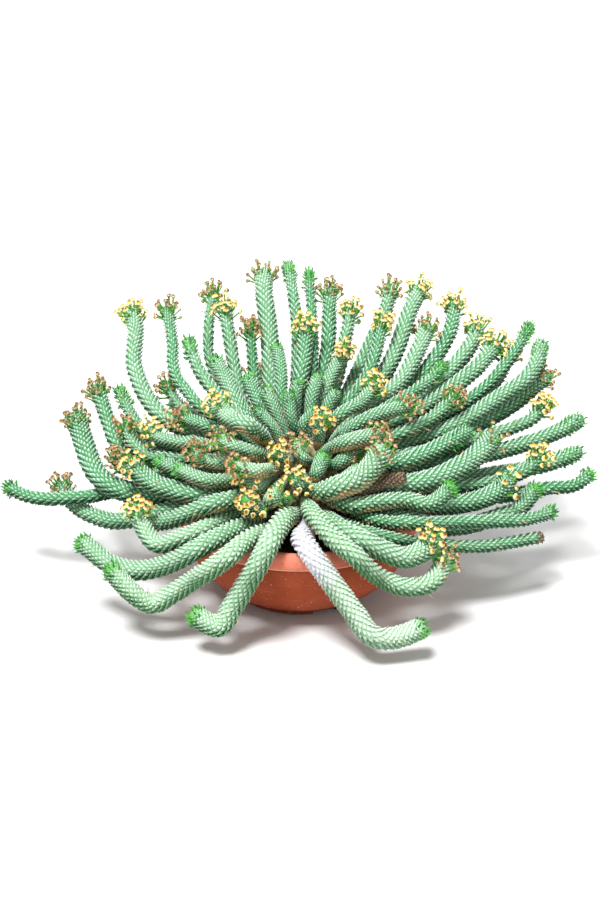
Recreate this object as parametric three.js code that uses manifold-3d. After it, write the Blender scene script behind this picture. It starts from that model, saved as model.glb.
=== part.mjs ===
import * as THREE from 'three';
import { mergeVertices } from 'three/addons/utils/BufferGeometryUtils.js';
import Module from 'manifold-3d';

const wasm = await Module();
wasm.setup();

// Medusa head euphorbia in a shallow terracotta bowl. Millimetres, Z up.
// The origin is on the bowl's axis, on the face that the bowl stands on.

// Bowl, with three notches in its foot and a drain hole at the end of each
const lipRadius = 153;
const lipUnderside = 97;
const bowlHeight = 118;
const mouthRadius = 140;
const footRadius = 82;
const footHeight = 6;
const bowlFloor = 13;
const bowlSides = 36;
const notchBearings = [-69, 51, 171];
const notchWidth = 30;
const notchHeight = 5;
const notchDepth = 26;
const drainRadius = 7;
const drainSides = 12;

// Soil, which rises a little towards the stem and is crumbly between two radii
const soilHeight = 101;
const soilRise = [[122, 100], [98, 102], [72, 103]];
const soilGap = 0.6;
const crumbHeight = 2.2;
const crumbReach = [60, 130];
const crumbWaves = [[7, 0.3], [4, -0.17]];

// The bowl's outside from the foot up to the lip, and its inside from the mouth down to the floor,
// as [radius, height]
const outerWall = [
  [footRadius, 0], [footRadius + 3, footHeight], [112, 24], [133, 52], [146, lipUnderside],
  [lipRadius - 2, lipUnderside + 1], [lipRadius, 107], [lipRadius - 4, bowlHeight],
];
const innerWall = [
  [mouthRadius, bowlHeight - 6], [mouthRadius - 3, soilHeight], [122, 48], [78, bowlFloor],
];

// Woody stem: a post with a domed crown and a dry knot on top
const stemRadius = 50;
const stemFoot = 62;
const stemCollar = 102;
const stemShoulder = 142;
const stemSides = 24;
const domeStep = 15;
const knotRadius = 5;
const knotHeight = 3;
const knotDip = 2;

// Arms
const armSides = 8;
const youngSides = 6;
const rowPitch = 36;
const tipRow = 11;
const rootRadius = 6;
const rootSink = 5;
const bareCrown = 25;
const rootTaper = 60;
const valleyShare = 0.74;
const scaleLean = 0.2;
const bendSteps = 80;

// How an arm ends: the width of its last peaks and valleys as a share of the arm's, and how far
// these and the middle stand back from the tip
const roundTip = { peak: 0.55, valley: 0.4, peakBack: 3, valleyBack: 3, middleBack: 0 };
const leafyTip = { peak: 0.85, valley: 0.35, peakBack: 0, valleyBack: 9, middleBack: 5 };
const cutTip = { peak: 0.85, valley: 0.85, peakBack: 0, valleyBack: 0, middleBack: 0 };
const tipShapes = { leafy: leafyTip, fresh: roundTip, faded: roundTip, plain: roundTip, cut: cutTip };

// Flower heads, in a cluster round the end of an arm
const clusterHeads = 3;
const clusterRadius = 16;
const clusterFoot = 14.3;
const clusterSpread = 0.2;
const stalkLength = 13;
const stalkRadius = 1.3;
const stalkOut = 0.75;
const stalkAhead = 0.66;
const headRadius = 4.2;
const headDip = 0.5;
const headSides = 3;
const headRoom = 1;

// How closely pieces lie, and how the arms make room for each other
const seat = 0.3;
const clearance = 3.2;
const soilRoom = 5;
const sideRoom = 1;
const lipRing = { radius: 145, height: 108, thickness: 11 };
const chainStep = 10;
const settlePasses = 220;
const pushShare = 0.4;
const neighbourShare = 0.25;
const stretchShare = 0.5;

// Each arm: its tip, its width, where it leaves the stem as [bearing, height], and its route as
// [bearing, reach, height]. Bearings are in degrees, with 0 to the right and 90 to the back.
const longArms = [
  { name: 'front_pale', tip: 'leafy', width: 28, root: [-92, 118],
    route: [[-92, 120, 125], [-88, 155, 130], [-74, 185, 75],
      [-66, 215, 35], [-58, 220, 35], [-52, 235, 45]] },
  { name: 'front_left_low', tip: 'leafy', width: 28, root: [-118, 124],
    route: [[-106, 160, 135], [-115, 180, 70], [-120, 205, 35], [-127, 215, 53]] },
  { name: 'front_left_elbow', tip: 'leafy', width: 26, root: [-135, 122],
    route: [[-117, 185, 130], [-132, 200, 85], [-140, 225, 55], [-145, 250, 80], [-149, 260, 100]] },
  { name: 'front_left_long', tip: 'leafy', width: 26, root: [-147, 118],
    route: [[-129, 175, 130], [-144, 210, 95], [-153, 245, 85], [-162, 280, 110]] },
  { name: 'front_left_bloom', tip: 'fresh', width: 24, root: [-155, 134],
    route: [[-134, 160, 135], [-142, 200, 110], [-151, 205, 125], [-155, 205, 145]] },
  { name: 'front_right_bloom', tip: 'fresh', width: 28, root: [-76, 120],
    route: [[-76, 100, 135], [-68, 150, 135], [-53, 165, 110], [-42, 175, 110], [-36, 175, 130]] },
  { name: 'front_right_leafy', tip: 'faded', width: 25, root: [-86, 132],
    route: [[-82, 140, 140], [-71, 180, 130], [-56, 175, 90],
      [-48, 195, 80], [-39, 210, 90], [-34, 205, 110]] },
  { name: 'front_right_star', tip: 'leafy', width: 22, root: [-66, 138],
    route: [[-56, 95, 140], [-32, 140, 130], [-27, 185, 125], [-23, 195, 145]] },
  { name: 'front_right_big', tip: 'faded', width: 30, root: [-78, 152],
    route: [[-63, 75, 145], [-41, 95, 150], [-30, 110, 170], [-19, 110, 190]] },
  { name: 'front_right_stub', tip: 'cut', width: 18, root: [-58, 126],
    route: [[-36, 90, 140], [-27, 120, 150], [-25, 145, 158]] },
  { name: 'left_low', tip: 'leafy', width: 20, root: [187, 128],
    route: [[182, 145, 130], [177, 210, 120], [178, 270, 105], [176, 330, 100], [174, 370, 110]] },
  { name: 'left_second', tip: 'faded', width: 24, root: [197, 124],
    route: [[200, 140, 130], [185, 220, 105], [177, 265, 105], [172, 295, 110], [169, 315, 125]] },
  { name: 'left_thick', tip: 'faded', width: 29, root: [180, 142],
    route: [[203, 130, 140], [187, 185, 130], [180, 225, 130],
      [174, 250, 140], [168, 270, 160], [164, 290, 190]] },
  { name: 'left_dark', tip: 'leafy', width: 24, root: [205, 132],
    route: [[226, 120, 140], [205, 145, 120], [194, 175, 110]] },
  { name: 'left_hooked', tip: 'faded', width: 20, root: [192, 142],
    route: [[199, 125, 150], [189, 185, 140], [183, 210, 145], [180, 220, 160]] },
  { name: 'left_pale', tip: 'fresh', width: 26, root: [200, 148],
    route: [[211, 130, 150], [193, 165, 145], [183, 195, 160]] },
  { name: 'left_upper', tip: 'faded', width: 22, root: [172, 150],
    route: [[187, 120, 160], [177, 185, 160], [172, 220, 170], [162, 250, 190], [155, 280, 220]] },
  { name: 'left_plain', tip: 'plain', width: 18, root: [165, 154],
    route: [[184, 135, 180], [169, 195, 185], [159, 235, 200], [154, 260, 215]] },
  { name: 'left_mid', tip: 'faded', width: 19, root: [176, 162],
    route: [[189, 135, 175], [180, 180, 165], [173, 210, 175], [169, 220, 190]] },
  { name: 'left_tall', tip: 'fresh', width: 24, root: [158, 158],
    route: [[184, 115, 195], [168, 165, 205], [160, 200, 220],
      [150, 240, 245], [140, 275, 270], [137, 300, 285]] },
  { name: 'back_left_far', tip: 'faded', width: 18, root: [142, 162],
    route: [[175, 105, 220], [162, 140, 235], [152, 175, 250], [141, 205, 270], [132, 255, 295]] },
  { name: 'back_left_finger', tip: 'faded', width: 17, root: [150, 164],
    route: [[172, 110, 210], [158, 160, 220], [151, 190, 235]] },
  { name: 'back_left_bent', tip: 'plain', width: 19, root: [134, 168],
    route: [[165, 75, 205], [152, 115, 225], [145, 155, 250], [138, 190, 275]] },
  { name: 'back_left_bloom_a', tip: 'faded', width: 17, root: [122, 168],
    route: [[136, 110, 210], [129, 175, 250], [123, 205, 285], [115, 255, 310]] },
  { name: 'back_left_bloom_b', tip: 'fresh', width: 20, root: [118, 176],
    route: [[134, 90, 215], [126, 135, 240], [122, 170, 270], [119, 210, 300]] },
  { name: 'back_crest', tip: 'faded', width: 26, root: [104, 164],
    route: [[108, 100, 225], [104, 160, 270], [103, 210, 310], [101, 255, 325]] },
  { name: 'back_thin', tip: 'faded', width: 17, root: [110, 172],
    route: [[125, 90, 215], [118, 130, 245], [113, 165, 285]] },
  { name: 'back_tallest', tip: 'plain', width: 18, root: [96, 168],
    route: [[90, 100, 225], [89, 150, 275], [91, 190, 310], [93, 255, 335]] },
  { name: 'back_tall', tip: 'plain', width: 17, root: [88, 166],
    route: [[82, 110, 235], [85, 180, 290], [87, 250, 325]] },
  { name: 'back_bloom_a', tip: 'faded', width: 22, root: [80, 166],
    route: [[76, 115, 235], [77, 155, 265], [80, 205, 300], [81, 230, 315]] },
  { name: 'back_bloom_b', tip: 'fresh', width: 20, root: [74, 170],
    route: [[67, 110, 230], [69, 150, 265], [71, 200, 300]] },
  { name: 'back_mid_bloom', tip: 'fresh', width: 22, root: [92, 178],
    route: [[90, 70, 230], [87, 110, 260], [87, 145, 290]] },
  { name: 'right_back_leafy', tip: 'faded', width: 22, root: [62, 166],
    route: [[56, 110, 220], [58, 170, 260], [60, 230, 295], [62, 260, 315]] },
  { name: 'right_back_bloom_a', tip: 'fresh', width: 19, root: [56, 174],
    route: [[46, 95, 210], [49, 140, 240], [57, 195, 280]] },
  { name: 'right_back_high', tip: 'fresh', width: 24, root: [52, 164],
    route: [[45, 110, 210], [46, 175, 245], [50, 230, 285], [54, 280, 305]] },
  { name: 'right_back_brown', tip: 'faded', width: 24, root: [46, 174],
    route: [[29, 95, 210], [35, 155, 225], [44, 220, 260], [47, 245, 270]] },
  { name: 'right_back_tall', tip: 'fresh', width: 22, root: [42, 162],
    route: [[36, 125, 205], [38, 200, 240], [44, 265, 275], [49, 300, 295]] },
  { name: 'right_back_wide', tip: 'fresh', width: 24, root: [36, 172],
    route: [[31, 150, 210], [35, 230, 235], [36, 280, 260], [40, 300, 270]] },
  { name: 'right_far_bloom_a', tip: 'fresh', width: 24, root: [32, 160],
    route: [[9, 115, 200], [19, 185, 215], [27, 250, 240], [33, 290, 255]] },
  { name: 'right_far_tip', tip: 'plain', width: 18, root: [26, 162],
    route: [[14, 165, 200], [22, 245, 220], [28, 300, 245], [33, 350, 270]] },
  { name: 'right_far_bloom_b', tip: 'fresh', width: 20, root: [22, 156],
    route: [[17, 180, 190], [23, 245, 205], [27, 290, 230], [32, 320, 245]] },
  { name: 'right_far_crest', tip: 'plain', width: 23, root: [18, 160],
    route: [[12, 175, 190], [20, 255, 210], [22, 310, 230], [28, 350, 255]] },
  { name: 'right_head', tip: 'faded', width: 24, root: [14, 154],
    route: [[10, 160, 180], [19, 240, 190], [21, 295, 205], [23, 345, 230]] },
  { name: 'right_bloom', tip: 'fresh', width: 20, root: [10, 160],
    route: [[4, 145, 180], [16, 245, 180], [18, 300, 190], [20, 325, 205]] },
  { name: 'right_green_bloom', tip: 'plain', width: 18, root: [38, 182],
    route: [[12, 125, 210], [21, 185, 220], [25, 215, 235]] },
  { name: 'right_brown_mid', tip: 'faded', width: 20, root: [28, 178],
    route: [[4, 115, 200], [17, 175, 205], [20, 200, 220]] },
  { name: 'right_crest_high', tip: 'plain', width: 23, root: [4, 150],
    route: [[6, 160, 165], [13, 255, 160], [14, 325, 170], [15, 370, 185]] },
  { name: 'right_crest_low', tip: 'plain', width: 22, root: [0, 142],
    route: [[0, 170, 150], [3, 245, 150], [6, 310, 150], [8, 355, 160]] },
  { name: 'right_low', tip: 'leafy', width: 20, root: [-6, 132],
    route: [[-6, 170, 130], [-2, 245, 125], [0, 300, 130], [2, 345, 130], [4, 365, 140]] },
  { name: 'right_yellow_shaft', tip: 'fresh', width: 20, root: [-2, 152],
    route: [[-7, 185, 140], [-1, 250, 140], [1, 280, 150], [4, 300, 165]] },
  { name: 'right_star', tip: 'leafy', width: 23, root: [-22, 128],
    route: [[-35, 145, 130], [-19, 190, 115], [-9, 240, 115], [-3, 280, 120], [-1, 290, 140]] },
  { name: 'right_posy', tip: 'fresh', width: 26, root: [-14, 142],
    route: [[-26, 135, 145], [-15, 190, 130], [-8, 230, 135], [-4, 245, 150]] },
  { name: 'right_big_posy', tip: 'faded', width: 29, root: [-8, 156],
    route: [[-22, 130, 150], [-10, 170, 150], [0, 205, 165], [6, 230, 185]] },
  { name: 'right_short_yellow', tip: 'plain', width: 23, root: [8, 168],
    route: [[-19, 110, 170], [-2, 160, 175], [4, 200, 185]] },
  { name: 'right_cut', tip: 'cut', width: 18, root: [-36, 122],
    route: [[-52, 130, 132], [-30, 175, 108], [-18, 230, 92], [-8, 300, 88]] },
  { name: 'right_low_star', tip: 'leafy', width: 19, root: [-28, 134],
    route: [[-40, 150, 135], [-19, 210, 125], [-8, 265, 115], [-2, 305, 115]] },
];

// Short young arms that stand round the crown, one growth with the stem
const youngArms = [
  { name: 'front_star', tip: 'leafy', width: 24, root: [-110, 142],
    route: [[-119, 65, 140], [-111, 60, 160]] },
  { name: 'front_posy', tip: 'fresh', width: 20, root: [-124, 150],
    route: [[-113, 105, 140], [-109, 95, 150]] },
  { name: 'front_stub_bloom', tip: 'fresh', width: 23, root: [-136, 148],
    route: [[-123, 115, 140], [-129, 110, 155]] },
  { name: 'left_stub_bloom', tip: 'fresh', width: 22, root: [-158, 152],
    route: [[-142, 100, 150], [-153, 110, 160]] },
  { name: 'left_yellow', tip: 'fresh', width: 19, root: [168, 170],
    route: [[196, 110, 195], [182, 155, 185], [175, 180, 190]] },
  { name: 'left_brown', tip: 'faded', width: 18, root: [160, 168],
    route: [[194, 105, 200], [182, 140, 200], [182, 155, 200]] },
  { name: 'left_star_a', tip: 'leafy', width: 19, root: [185, 162],
    route: [[205, 120, 165], [193, 150, 160], [188, 165, 165]] },
  { name: 'left_star_b', tip: 'leafy', width: 19, root: [196, 160],
    route: [[211, 115, 160], [201, 140, 160], [195, 150, 165]] },
  { name: 'left_brown_low', tip: 'faded', width: 20, root: [190, 168],
    route: [[209, 100, 170], [200, 125, 170], [196, 135, 180]] },
  { name: 'left_yellow_high', tip: 'fresh', width: 23, root: [155, 178],
    route: [[216, 85, 205], [198, 105, 205], [187, 115, 215]] },
  { name: 'left_brown_a', tip: 'faded', width: 20, root: [178, 178],
    route: [[219, 90, 190], [202, 105, 195]] },
  { name: 'left_brown_b', tip: 'faded', width: 19, root: [200, 172],
    route: [[226, 95, 180], [212, 105, 180]] },
  { name: 'left_near', tip: 'fresh', width: 22, root: [222, 160],
    route: [[230, 70, 160], [221, 75, 170]] },
  { name: 'back_left_dark', tip: 'leafy', width: 22, root: [138, 178],
    route: [[159, 80, 215], [145, 115, 235], [138, 150, 255]] },
  { name: 'back_mid_leafy', tip: 'leafy', width: 18, root: [100, 184],
    route: [[115, 50, 220], [104, 90, 250], [104, 120, 270]] },
  { name: 'back_mid_pale', tip: 'fresh', width: 18, root: [70, 180],
    route: [[67, 65, 220], [66, 105, 250], [63, 125, 270]] },
  { name: 'crown_a', tip: 'leafy', width: 20, root: [124, 184],
    route: [[134, 80, 210], [129, 115, 235]] },
  { name: 'crown_b', tip: 'plain', width: 18, root: [112, 186],
    route: [[135, 50, 210], [130, 75, 230]] },
  { name: 'crown_c', tip: 'plain', width: 17, root: [92, 186],
    route: [[114, 35, 215], [104, 55, 230]] },
  { name: 'crown_d', tip: 'plain', width: 17, root: [78, 184],
    route: [[87, 45, 220], [85, 65, 240]] },
  { name: 'crown_e', tip: 'leafy', width: 18, root: [66, 184],
    route: [[72, 55, 220], [72, 85, 240]] },
  { name: 'crown_f', tip: 'plain', width: 18, root: [50, 184],
    route: [[57, 50, 215], [57, 75, 230]] },
  { name: 'crown_g', tip: 'plain', width: 16, root: [150, 184],
    route: [[155, 55, 205], [151, 75, 215]] },
  { name: 'crown_h', tip: 'leafy', width: 17, root: [30, 182],
    route: [[36, 25, 205], [41, 50, 210]] },
  { name: 'right_yellow_mid', tip: 'fresh', width: 19, root: [48, 184],
    route: [[12, 55, 215], [25, 95, 220], [30, 115, 235]] },
  { name: 'mid_right_a', tip: 'faded', width: 22, root: [-20, 166],
    route: [[-29, 60, 180], [-6, 80, 185]] },
  { name: 'mid_right_b', tip: 'faded', width: 22, root: [-2, 176],
    route: [[-12, 85, 190], [1, 120, 200]] },
  { name: 'mid_right_c', tip: 'faded', width: 20, root: [14, 180],
    route: [[-7, 90, 200], [5, 150, 200]] },
  { name: 'mid_right_d', tip: 'fresh', width: 20, root: [20, 190],
    route: [[-56, 25, 200], [-16, 20, 215]] },
  { name: 'mid_right_e', tip: 'faded', width: 20, root: [-45, 176],
    route: [[-84, 55, 180], [-78, 35, 190]] },
  { name: 'mid_right_f', tip: 'fresh', width: 19, root: [-80, 164],
    route: [[-93, 75, 165], [-98, 60, 170]] },
  { name: 'mid_right_dark_a', tip: 'leafy', width: 22, root: [-40, 164],
    route: [[-65, 65, 170], [-42, 55, 185]] },
  { name: 'mid_right_dark_b', tip: 'leafy', width: 22, root: [-34, 150],
    route: [[-43, 75, 160], [-23, 85, 175]] },
];

// Arms that hang low behind, under the tall ones
const rearArms = [
  { name: 'rear_a', tip: 'leafy', width: 22, root: [22, 128],
    route: [[24, 110, 140], [27, 180, 142], [28, 245, 138], [26, 285, 150]] },
  { name: 'rear_b', tip: 'plain', width: 20, root: [38, 122],
    route: [[40, 110, 132], [43, 175, 130], [45, 230, 118], [44, 265, 122]] },
  { name: 'rear_c', tip: 'faded', width: 22, root: [54, 132],
    route: [[54, 105, 146], [57, 165, 156], [60, 225, 158], [60, 262, 172]] },
  { name: 'rear_d', tip: 'leafy', width: 21, root: [66, 120],
    route: [[66, 110, 130], [68, 170, 130], [72, 220, 112], [76, 250, 104]] },
  { name: 'rear_e', tip: 'plain', width: 22, root: [80, 134],
    route: [[80, 100, 152], [82, 160, 166], [84, 220, 172], [84, 255, 186]] },
  { name: 'rear_f', tip: 'leafy', width: 22, root: [92, 120],
    route: [[92, 110, 130], [92, 165, 132], [91, 215, 116], [88, 245, 112]] },
  { name: 'rear_g', tip: 'faded', width: 20, root: [104, 134],
    route: [[104, 100, 152], [104, 160, 164], [105, 215, 170], [104, 250, 184]] },
  { name: 'rear_h', tip: 'leafy', width: 22, root: [118, 122],
    route: [[118, 110, 132], [117, 170, 132], [115, 225, 116], [118, 255, 110]] },
  { name: 'rear_i', tip: 'plain', width: 21, root: [132, 134],
    route: [[132, 105, 148], [130, 165, 154], [129, 225, 152], [131, 262, 162]] },
  { name: 'rear_j', tip: 'leafy', width: 22, root: [148, 122],
    route: [[147, 110, 132], [145, 175, 134], [143, 235, 124], [146, 270, 128]] },
];

// A closed geometry as a solid that can be joined and cut
function solid(geometry) {
  geometry.deleteAttribute('normal');
  geometry.deleteAttribute('uv');
  const merged = mergeVertices(geometry, 1e-4);
  return new wasm.Manifold(new wasm.Mesh({
    numProp: 3,
    vertProperties: new Float32Array(merged.attributes.position.array),
    triVerts: new Uint32Array(merged.index.array),
  }));
}

function largest(body) {
  return body.decompose().reduce((one, other) => (other.volume() > one.volume() ? other : one));
}

function mesh(name, body, colour, roughness) {
  const { vertProperties, triVerts } = body.getMesh();
  const geometry = new THREE.BufferGeometry();
  geometry.setAttribute('position', new THREE.BufferAttribute(vertProperties, 3));
  geometry.setIndex(new THREE.BufferAttribute(triVerts, 1));
  geometry.computeVertexNormals();
  const material = new THREE.MeshStandardMaterial({ color: colour, roughness, metalness: 0 });
  const piece = new THREE.Mesh(geometry, material);
  piece.name = name;
  return piece;
}

// A profile of [radius, height] points, from the axis round to the axis, turned about Z
function turned(profile, sides) {
  const geometry = new THREE.LatheGeometry(profile.map(([r, z]) => new THREE.Vector2(r, z)), sides);
  geometry.rotateX(Math.PI / 2);
  return geometry;
}

function at(bearing, reach, height) {
  const a = THREE.MathUtils.degToRad(bearing);
  return new THREE.Vector3(reach * Math.cos(a), reach * Math.sin(a), height);
}

function shift(geometry, change) {
  const { position } = geometry.attributes;
  const point = new THREE.Vector3();
  for (let i = 0; i < position.count; i += 1) {
    point.fromBufferAttribute(position, i);
    change(point);
    position.setXYZ(i, point.x, point.y, point.z);
  }
  return geometry;
}

function bowl() {
  let body = solid(turned([[0, 0], ...outerWall, ...innerWall, [0, bowlFloor]], bowlSides));
  for (const bearing of notchBearings) {
    const notch = new THREE.BoxGeometry(2 * notchDepth, notchWidth, 2 * notchHeight);
    notch.translate(footRadius, 0, 0);
    notch.rotateZ(THREE.MathUtils.degToRad(bearing));
    const drain = new THREE.CylinderGeometry(drainRadius, drainRadius, 3 * bowlFloor, drainSides);
    drain.rotateX(Math.PI / 2);
    drain.translate(...at(bearing, footRadius - notchDepth + drainRadius, 0));
    body = body.subtract(solid(notch)).subtract(solid(drain));
  }
  return body;
}

// Soil fills the bowl to a small gap, and leaves a round well for the stem
function soil() {
  const filled = innerWall.slice(1).reverse();
  const well = stemRadius + soilGap;
  const wellFloor = stemFoot - seat;
  const crown = soilRise[soilRise.length - 1][1];
  const profile = [
    [0, bowlFloor + seat], ...filled.map(([r, z]) => [r - soilGap, z + seat]), ...soilRise,
    [well, crown], [well, wellFloor], [0, wellFloor],
  ];
  return solid(shift(turned(profile, bowlSides), (point) => {
    const reach = Math.hypot(point.x, point.y);
    if (point.z > soilHeight - crumbHeight && reach > crumbReach[0] && reach < crumbReach[1]) {
      const angle = Math.atan2(point.y, point.x);
      const [one, other] = crumbWaves.map(([turns, slope]) => turns * angle + slope * reach);
      point.z += crumbHeight * Math.sin(one) * Math.cos(other);
    }
  }));
}

function stem() {
  const top = stemShoulder + stemRadius;
  const profile = [[0, stemFoot], [stemRadius, stemFoot], [stemRadius, stemCollar]];
  for (let rise = 0; rise < 90; rise += domeStep) {
    const a = THREE.MathUtils.degToRad(rise);
    profile.push([stemRadius * Math.cos(a), stemShoulder + stemRadius * Math.sin(a)]);
  }
  profile.push([knotRadius, top + knotHeight], [0, top + knotHeight - knotDip]);
  return solid(turned(profile, stemSides));
}

// The nearest point of the stem's core line; the stem is the space within stemRadius of it
function core(point) {
  return new THREE.Vector3(0, 0, Math.min(point.z, stemShoulder));
}

// Points an even step apart on a smooth curve from inside the stem through the route
function chainOf(arm) {
  const [bearing, height] = arm.root;
  const start = at(bearing, stemRadius, height);
  const heart = core(start);
  start.sub(heart).setLength(stemRadius - rootSink).add(heart);
  const knots = [start, ...arm.route.map((stop) => at(...stop))];
  const curve = new THREE.CatmullRomCurve3(knots, false, 'catmullrom');
  return curve.getSpacedPoints(Math.round(curve.getLength() / chainStep));
}

// An arm is thin at its root and reaches its full width a hand's breadth on
function swell(distance, width) {
  const t = Math.min(1, distance / rootTaper);
  return rootRadius + (width / 2 - rootRadius) * t * t * (3 - 2 * t);
}

function hasFlowers(arm) {
  return arm.tip === 'fresh' || arm.tip === 'faded';
}

// The room that an arm takes up at each point of its chain
function girths(arm, chain) {
  return chain.map((point, i) => {
    const girth = swell(i * chainStep, arm.width);
    return hasFlowers(arm) && i === chain.length - 1 ? Math.max(girth, clusterRadius) : girth;
  });
}

// Rooted in the stem beside its bare crown, and clear of the stem further on
function leaveStem(point, i, girth) {
  const heart = core(point);
  const out = point.clone().sub(heart);
  const beyond = i === 0 ? -rootSink : Math.min(i * chainStep - rootSink, girth + sideRoom);
  const nearest = stemRadius + beyond;
  const highest = nearest * Math.cos(THREE.MathUtils.degToRad(bareCrown));
  if (i === 0) {
    out.z = Math.min(out.z, highest);
  }
  if (i === 0 || out.length() < nearest) {
    point.copy(heart).add(out.setLength(nearest));
  }
}

function clearSoil(point, girth) {
  if (Math.hypot(point.x, point.y) < mouthRadius) {
    point.z = Math.max(point.z, soilHeight + girth + soilRoom);
  }
}

// The lip counts as a ring of the same thickness all round
function clearLip(point, girth) {
  const reach = Math.hypot(point.x, point.y);
  const fromRing = new THREE.Vector2(reach - lipRing.radius, point.z - lipRing.height);
  const clear = lipRing.thickness + girth + sideRoom;
  if (reach > 1 && fromRing.length() < clear) {
    fromRing.setLength(clear);
    const scale = (lipRing.radius + fromRing.x) / reach;
    point.set(point.x * scale, point.y * scale, lipRing.height + fromRing.y);
  }
}

// Arms that would pass through each other are pushed apart, a little at a time
function settle(arms) {
  for (const arm of arms) {
    arm.chain = chainOf(arm);
    arm.girth = girths(arm, arm.chain);
    arm.home = arm.chain.map((point) => point.clone());
  }
  for (let pass = 0; pass < settlePasses; pass += 1) {
    for (const arm of arms) {
      arm.push = arm.chain.map(() => new THREE.Vector3());
    }
    for (let a = 0; a < arms.length; a += 1) {
      for (let b = a + 1; b < arms.length; b += 1) {
        pushApart(arms[a], arms[b]);
      }
    }
    for (const arm of arms) {
      yieldTo(arm);
      keepLength(arm);
      arm.chain.forEach((point, i) => {
        leaveStem(point, i, arm.girth[i]);
        clearSoil(point, arm.girth[i]);
        clearLip(point, arm.girth[i]);
      });
    }
  }
}

function pushApart(one, other) {
  const away = new THREE.Vector3();
  for (let i = 0; i < one.chain.length; i += 1) {
    for (let j = 0; j < other.chain.length; j += 1) {
      const need = one.girth[i] + other.girth[j] + clearance;
      away.subVectors(one.chain[i], other.chain[j]);
      const gap = away.length();
      if (gap < need) {
        away.multiplyScalar((need - gap) / (2 * Math.max(gap, 1)));
        one.push[i].add(away);
        other.push[j].sub(away);
      }
    }
  }
}

// Each push is shared along its arm, so that the arm stays smooth
function yieldTo(arm) {
  const drift = arm.chain.map((point, i) => (
    point.clone().sub(arm.home[i]).addScaledVector(arm.push[i], pushShare)
  ));
  arm.chain.forEach((point, i) => {
    const before = drift[Math.max(i - 1, 0)];
    const after = drift[Math.min(i + 1, drift.length - 1)];
    point.copy(arm.home[i]).addScaledVector(drift[i], 1 - 2 * neighbourShare);
    point.addScaledVector(before, neighbourShare).addScaledVector(after, neighbourShare);
  });
}

function keepLength(arm) {
  const step = arm.home[1].distanceTo(arm.home[0]);
  for (let i = 1; i < arm.chain.length; i += 1) {
    const link = arm.chain[i].clone().sub(arm.chain[i - 1]);
    link.multiplyScalar((stretchShare * (link.length() - step)) / link.length());
    arm.chain[i - 1].add(link);
    arm.chain[i].sub(link);
  }
}

// The radius of a ring's peak or valley, and how far it stands ahead of its ring
function ringStep(arm, along, peak, atRoot, atTip) {
  const full = swell(along, arm.width);
  if (atRoot) {
    return [full, 0];
  }
  if (atTip) {
    const end = tipShapes[arm.tip];
    return peak ? [full * end.peak, -end.peakBack] : [full * end.valley, -end.valleyBack];
  }
  return peak ? [full, full * scaleLean] : [full * valleyShare, 0];
}

// A bent tube whose rings alternate peaks and valleys, each ring turned by one peak from the last,
// so that scales that point to the tip cover it. A long arm's root is flat, against the stem.
function armSkin(arm) {
  const { curve, length } = arm;
  const heart = core(arm.chain[0]);
  const out = arm.chain[0].clone().sub(heart).normalize();
  const rows = Math.max(2, Math.round((length - tipRow) / rowPitch)) + 1;
  const frames = curve.computeFrenetFrames(bendSteps);
  const sides = arm.joined === 'young' ? youngSides : armSides;
  const tube = new THREE.CylinderGeometry(1, 1, 1, sides, rows);
  return solid(shift(tube, (point) => {
    const row = Math.round((point.y + 0.5) * rows);
    const side = Math.round((Math.atan2(point.z, point.x) / (2 * Math.PI)) * sides);
    const inMiddle = Math.hypot(point.x, point.z) < 0.5;
    const atTip = row === rows;
    const along = atTip ? length : ((length - tipRow) * row) / (rows - 1);
    const peak = (row + side + sides) % 2 === 0;
    let [radius, ahead] = ringStep(arm, along, peak, row === 0, atTip);
    if (inMiddle) {
      radius = 0;
      ahead = atTip ? -tipShapes[arm.tip].middleBack : 0;
    }
    const turn = (side / sides) * 2 * Math.PI;
    const bend = Math.round((along / length) * bendSteps);
    point.copy(curve.getPointAt(along / length));
    point.addScaledVector(frames.normals[bend], radius * Math.cos(turn));
    point.addScaledVector(frames.binormals[bend], -radius * Math.sin(turn));
    point.addScaledVector(frames.tangents[bend], ahead);
    if (row === 0 && !arm.joined) {
      point.addScaledVector(out, stemRadius + seat - point.clone().sub(heart).dot(out));
    }
  }));
}

// One flower head on its stalk, from its root along a direction
function flower(root, direction) {
  const profile = [
    [0, 0], [stalkRadius, 0], [headRadius, stalkLength], [0, stalkLength - headDip],
  ];
  const outline = profile.map(([r, y]) => new THREE.Vector2(r, y));
  const geometry = new THREE.LatheGeometry(outline, headSides);
  const turn = new THREE.Quaternion().setFromUnitVectors(new THREE.Vector3(0, 1, 0), direction);
  geometry.applyQuaternion(turn);
  geometry.translate(root.x, root.y, root.z);
  return solid(geometry);
}

function isFree(point, room, arm, arms) {
  return arms.every((other) => other === arm || other.chain.every(
    (stop, i) => stop.distanceTo(point) > room + Math.min(other.girth[i], other.width / 2),
  ));
}

// Flower heads stand round the end of the arm, wherever no other arm is in their way
function flowers(arm, arms) {
  const foot = (arm.length - clusterFoot) / arm.length;
  const centre = arm.curve.getPointAt(foot);
  const tangent = arm.curve.getTangentAt(foot);
  const side = new THREE.Vector3(0, 0, 1).cross(tangent).normalize();
  const up = tangent.clone().cross(side);
  const heads = [];
  for (let k = 0; k < clusterHeads; k += 1) {
    const turn = ((k + 0.5) / clusterHeads) * 2 * Math.PI;
    const outward = side.clone().multiplyScalar(Math.cos(turn)).addScaledVector(up, Math.sin(turn));
    const root = centre.clone().addScaledVector(outward, clusterSpread * arm.width);
    const direction = outward.multiplyScalar(stalkOut).addScaledVector(tangent, stalkAhead).normalize();
    const head = root.clone().addScaledVector(direction, stalkLength);
    if (isFree(head, headRadius + headRoom, arm, arms)) {
      heads.push(flower(root, direction));
    }
  }
  return heads;
}

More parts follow.
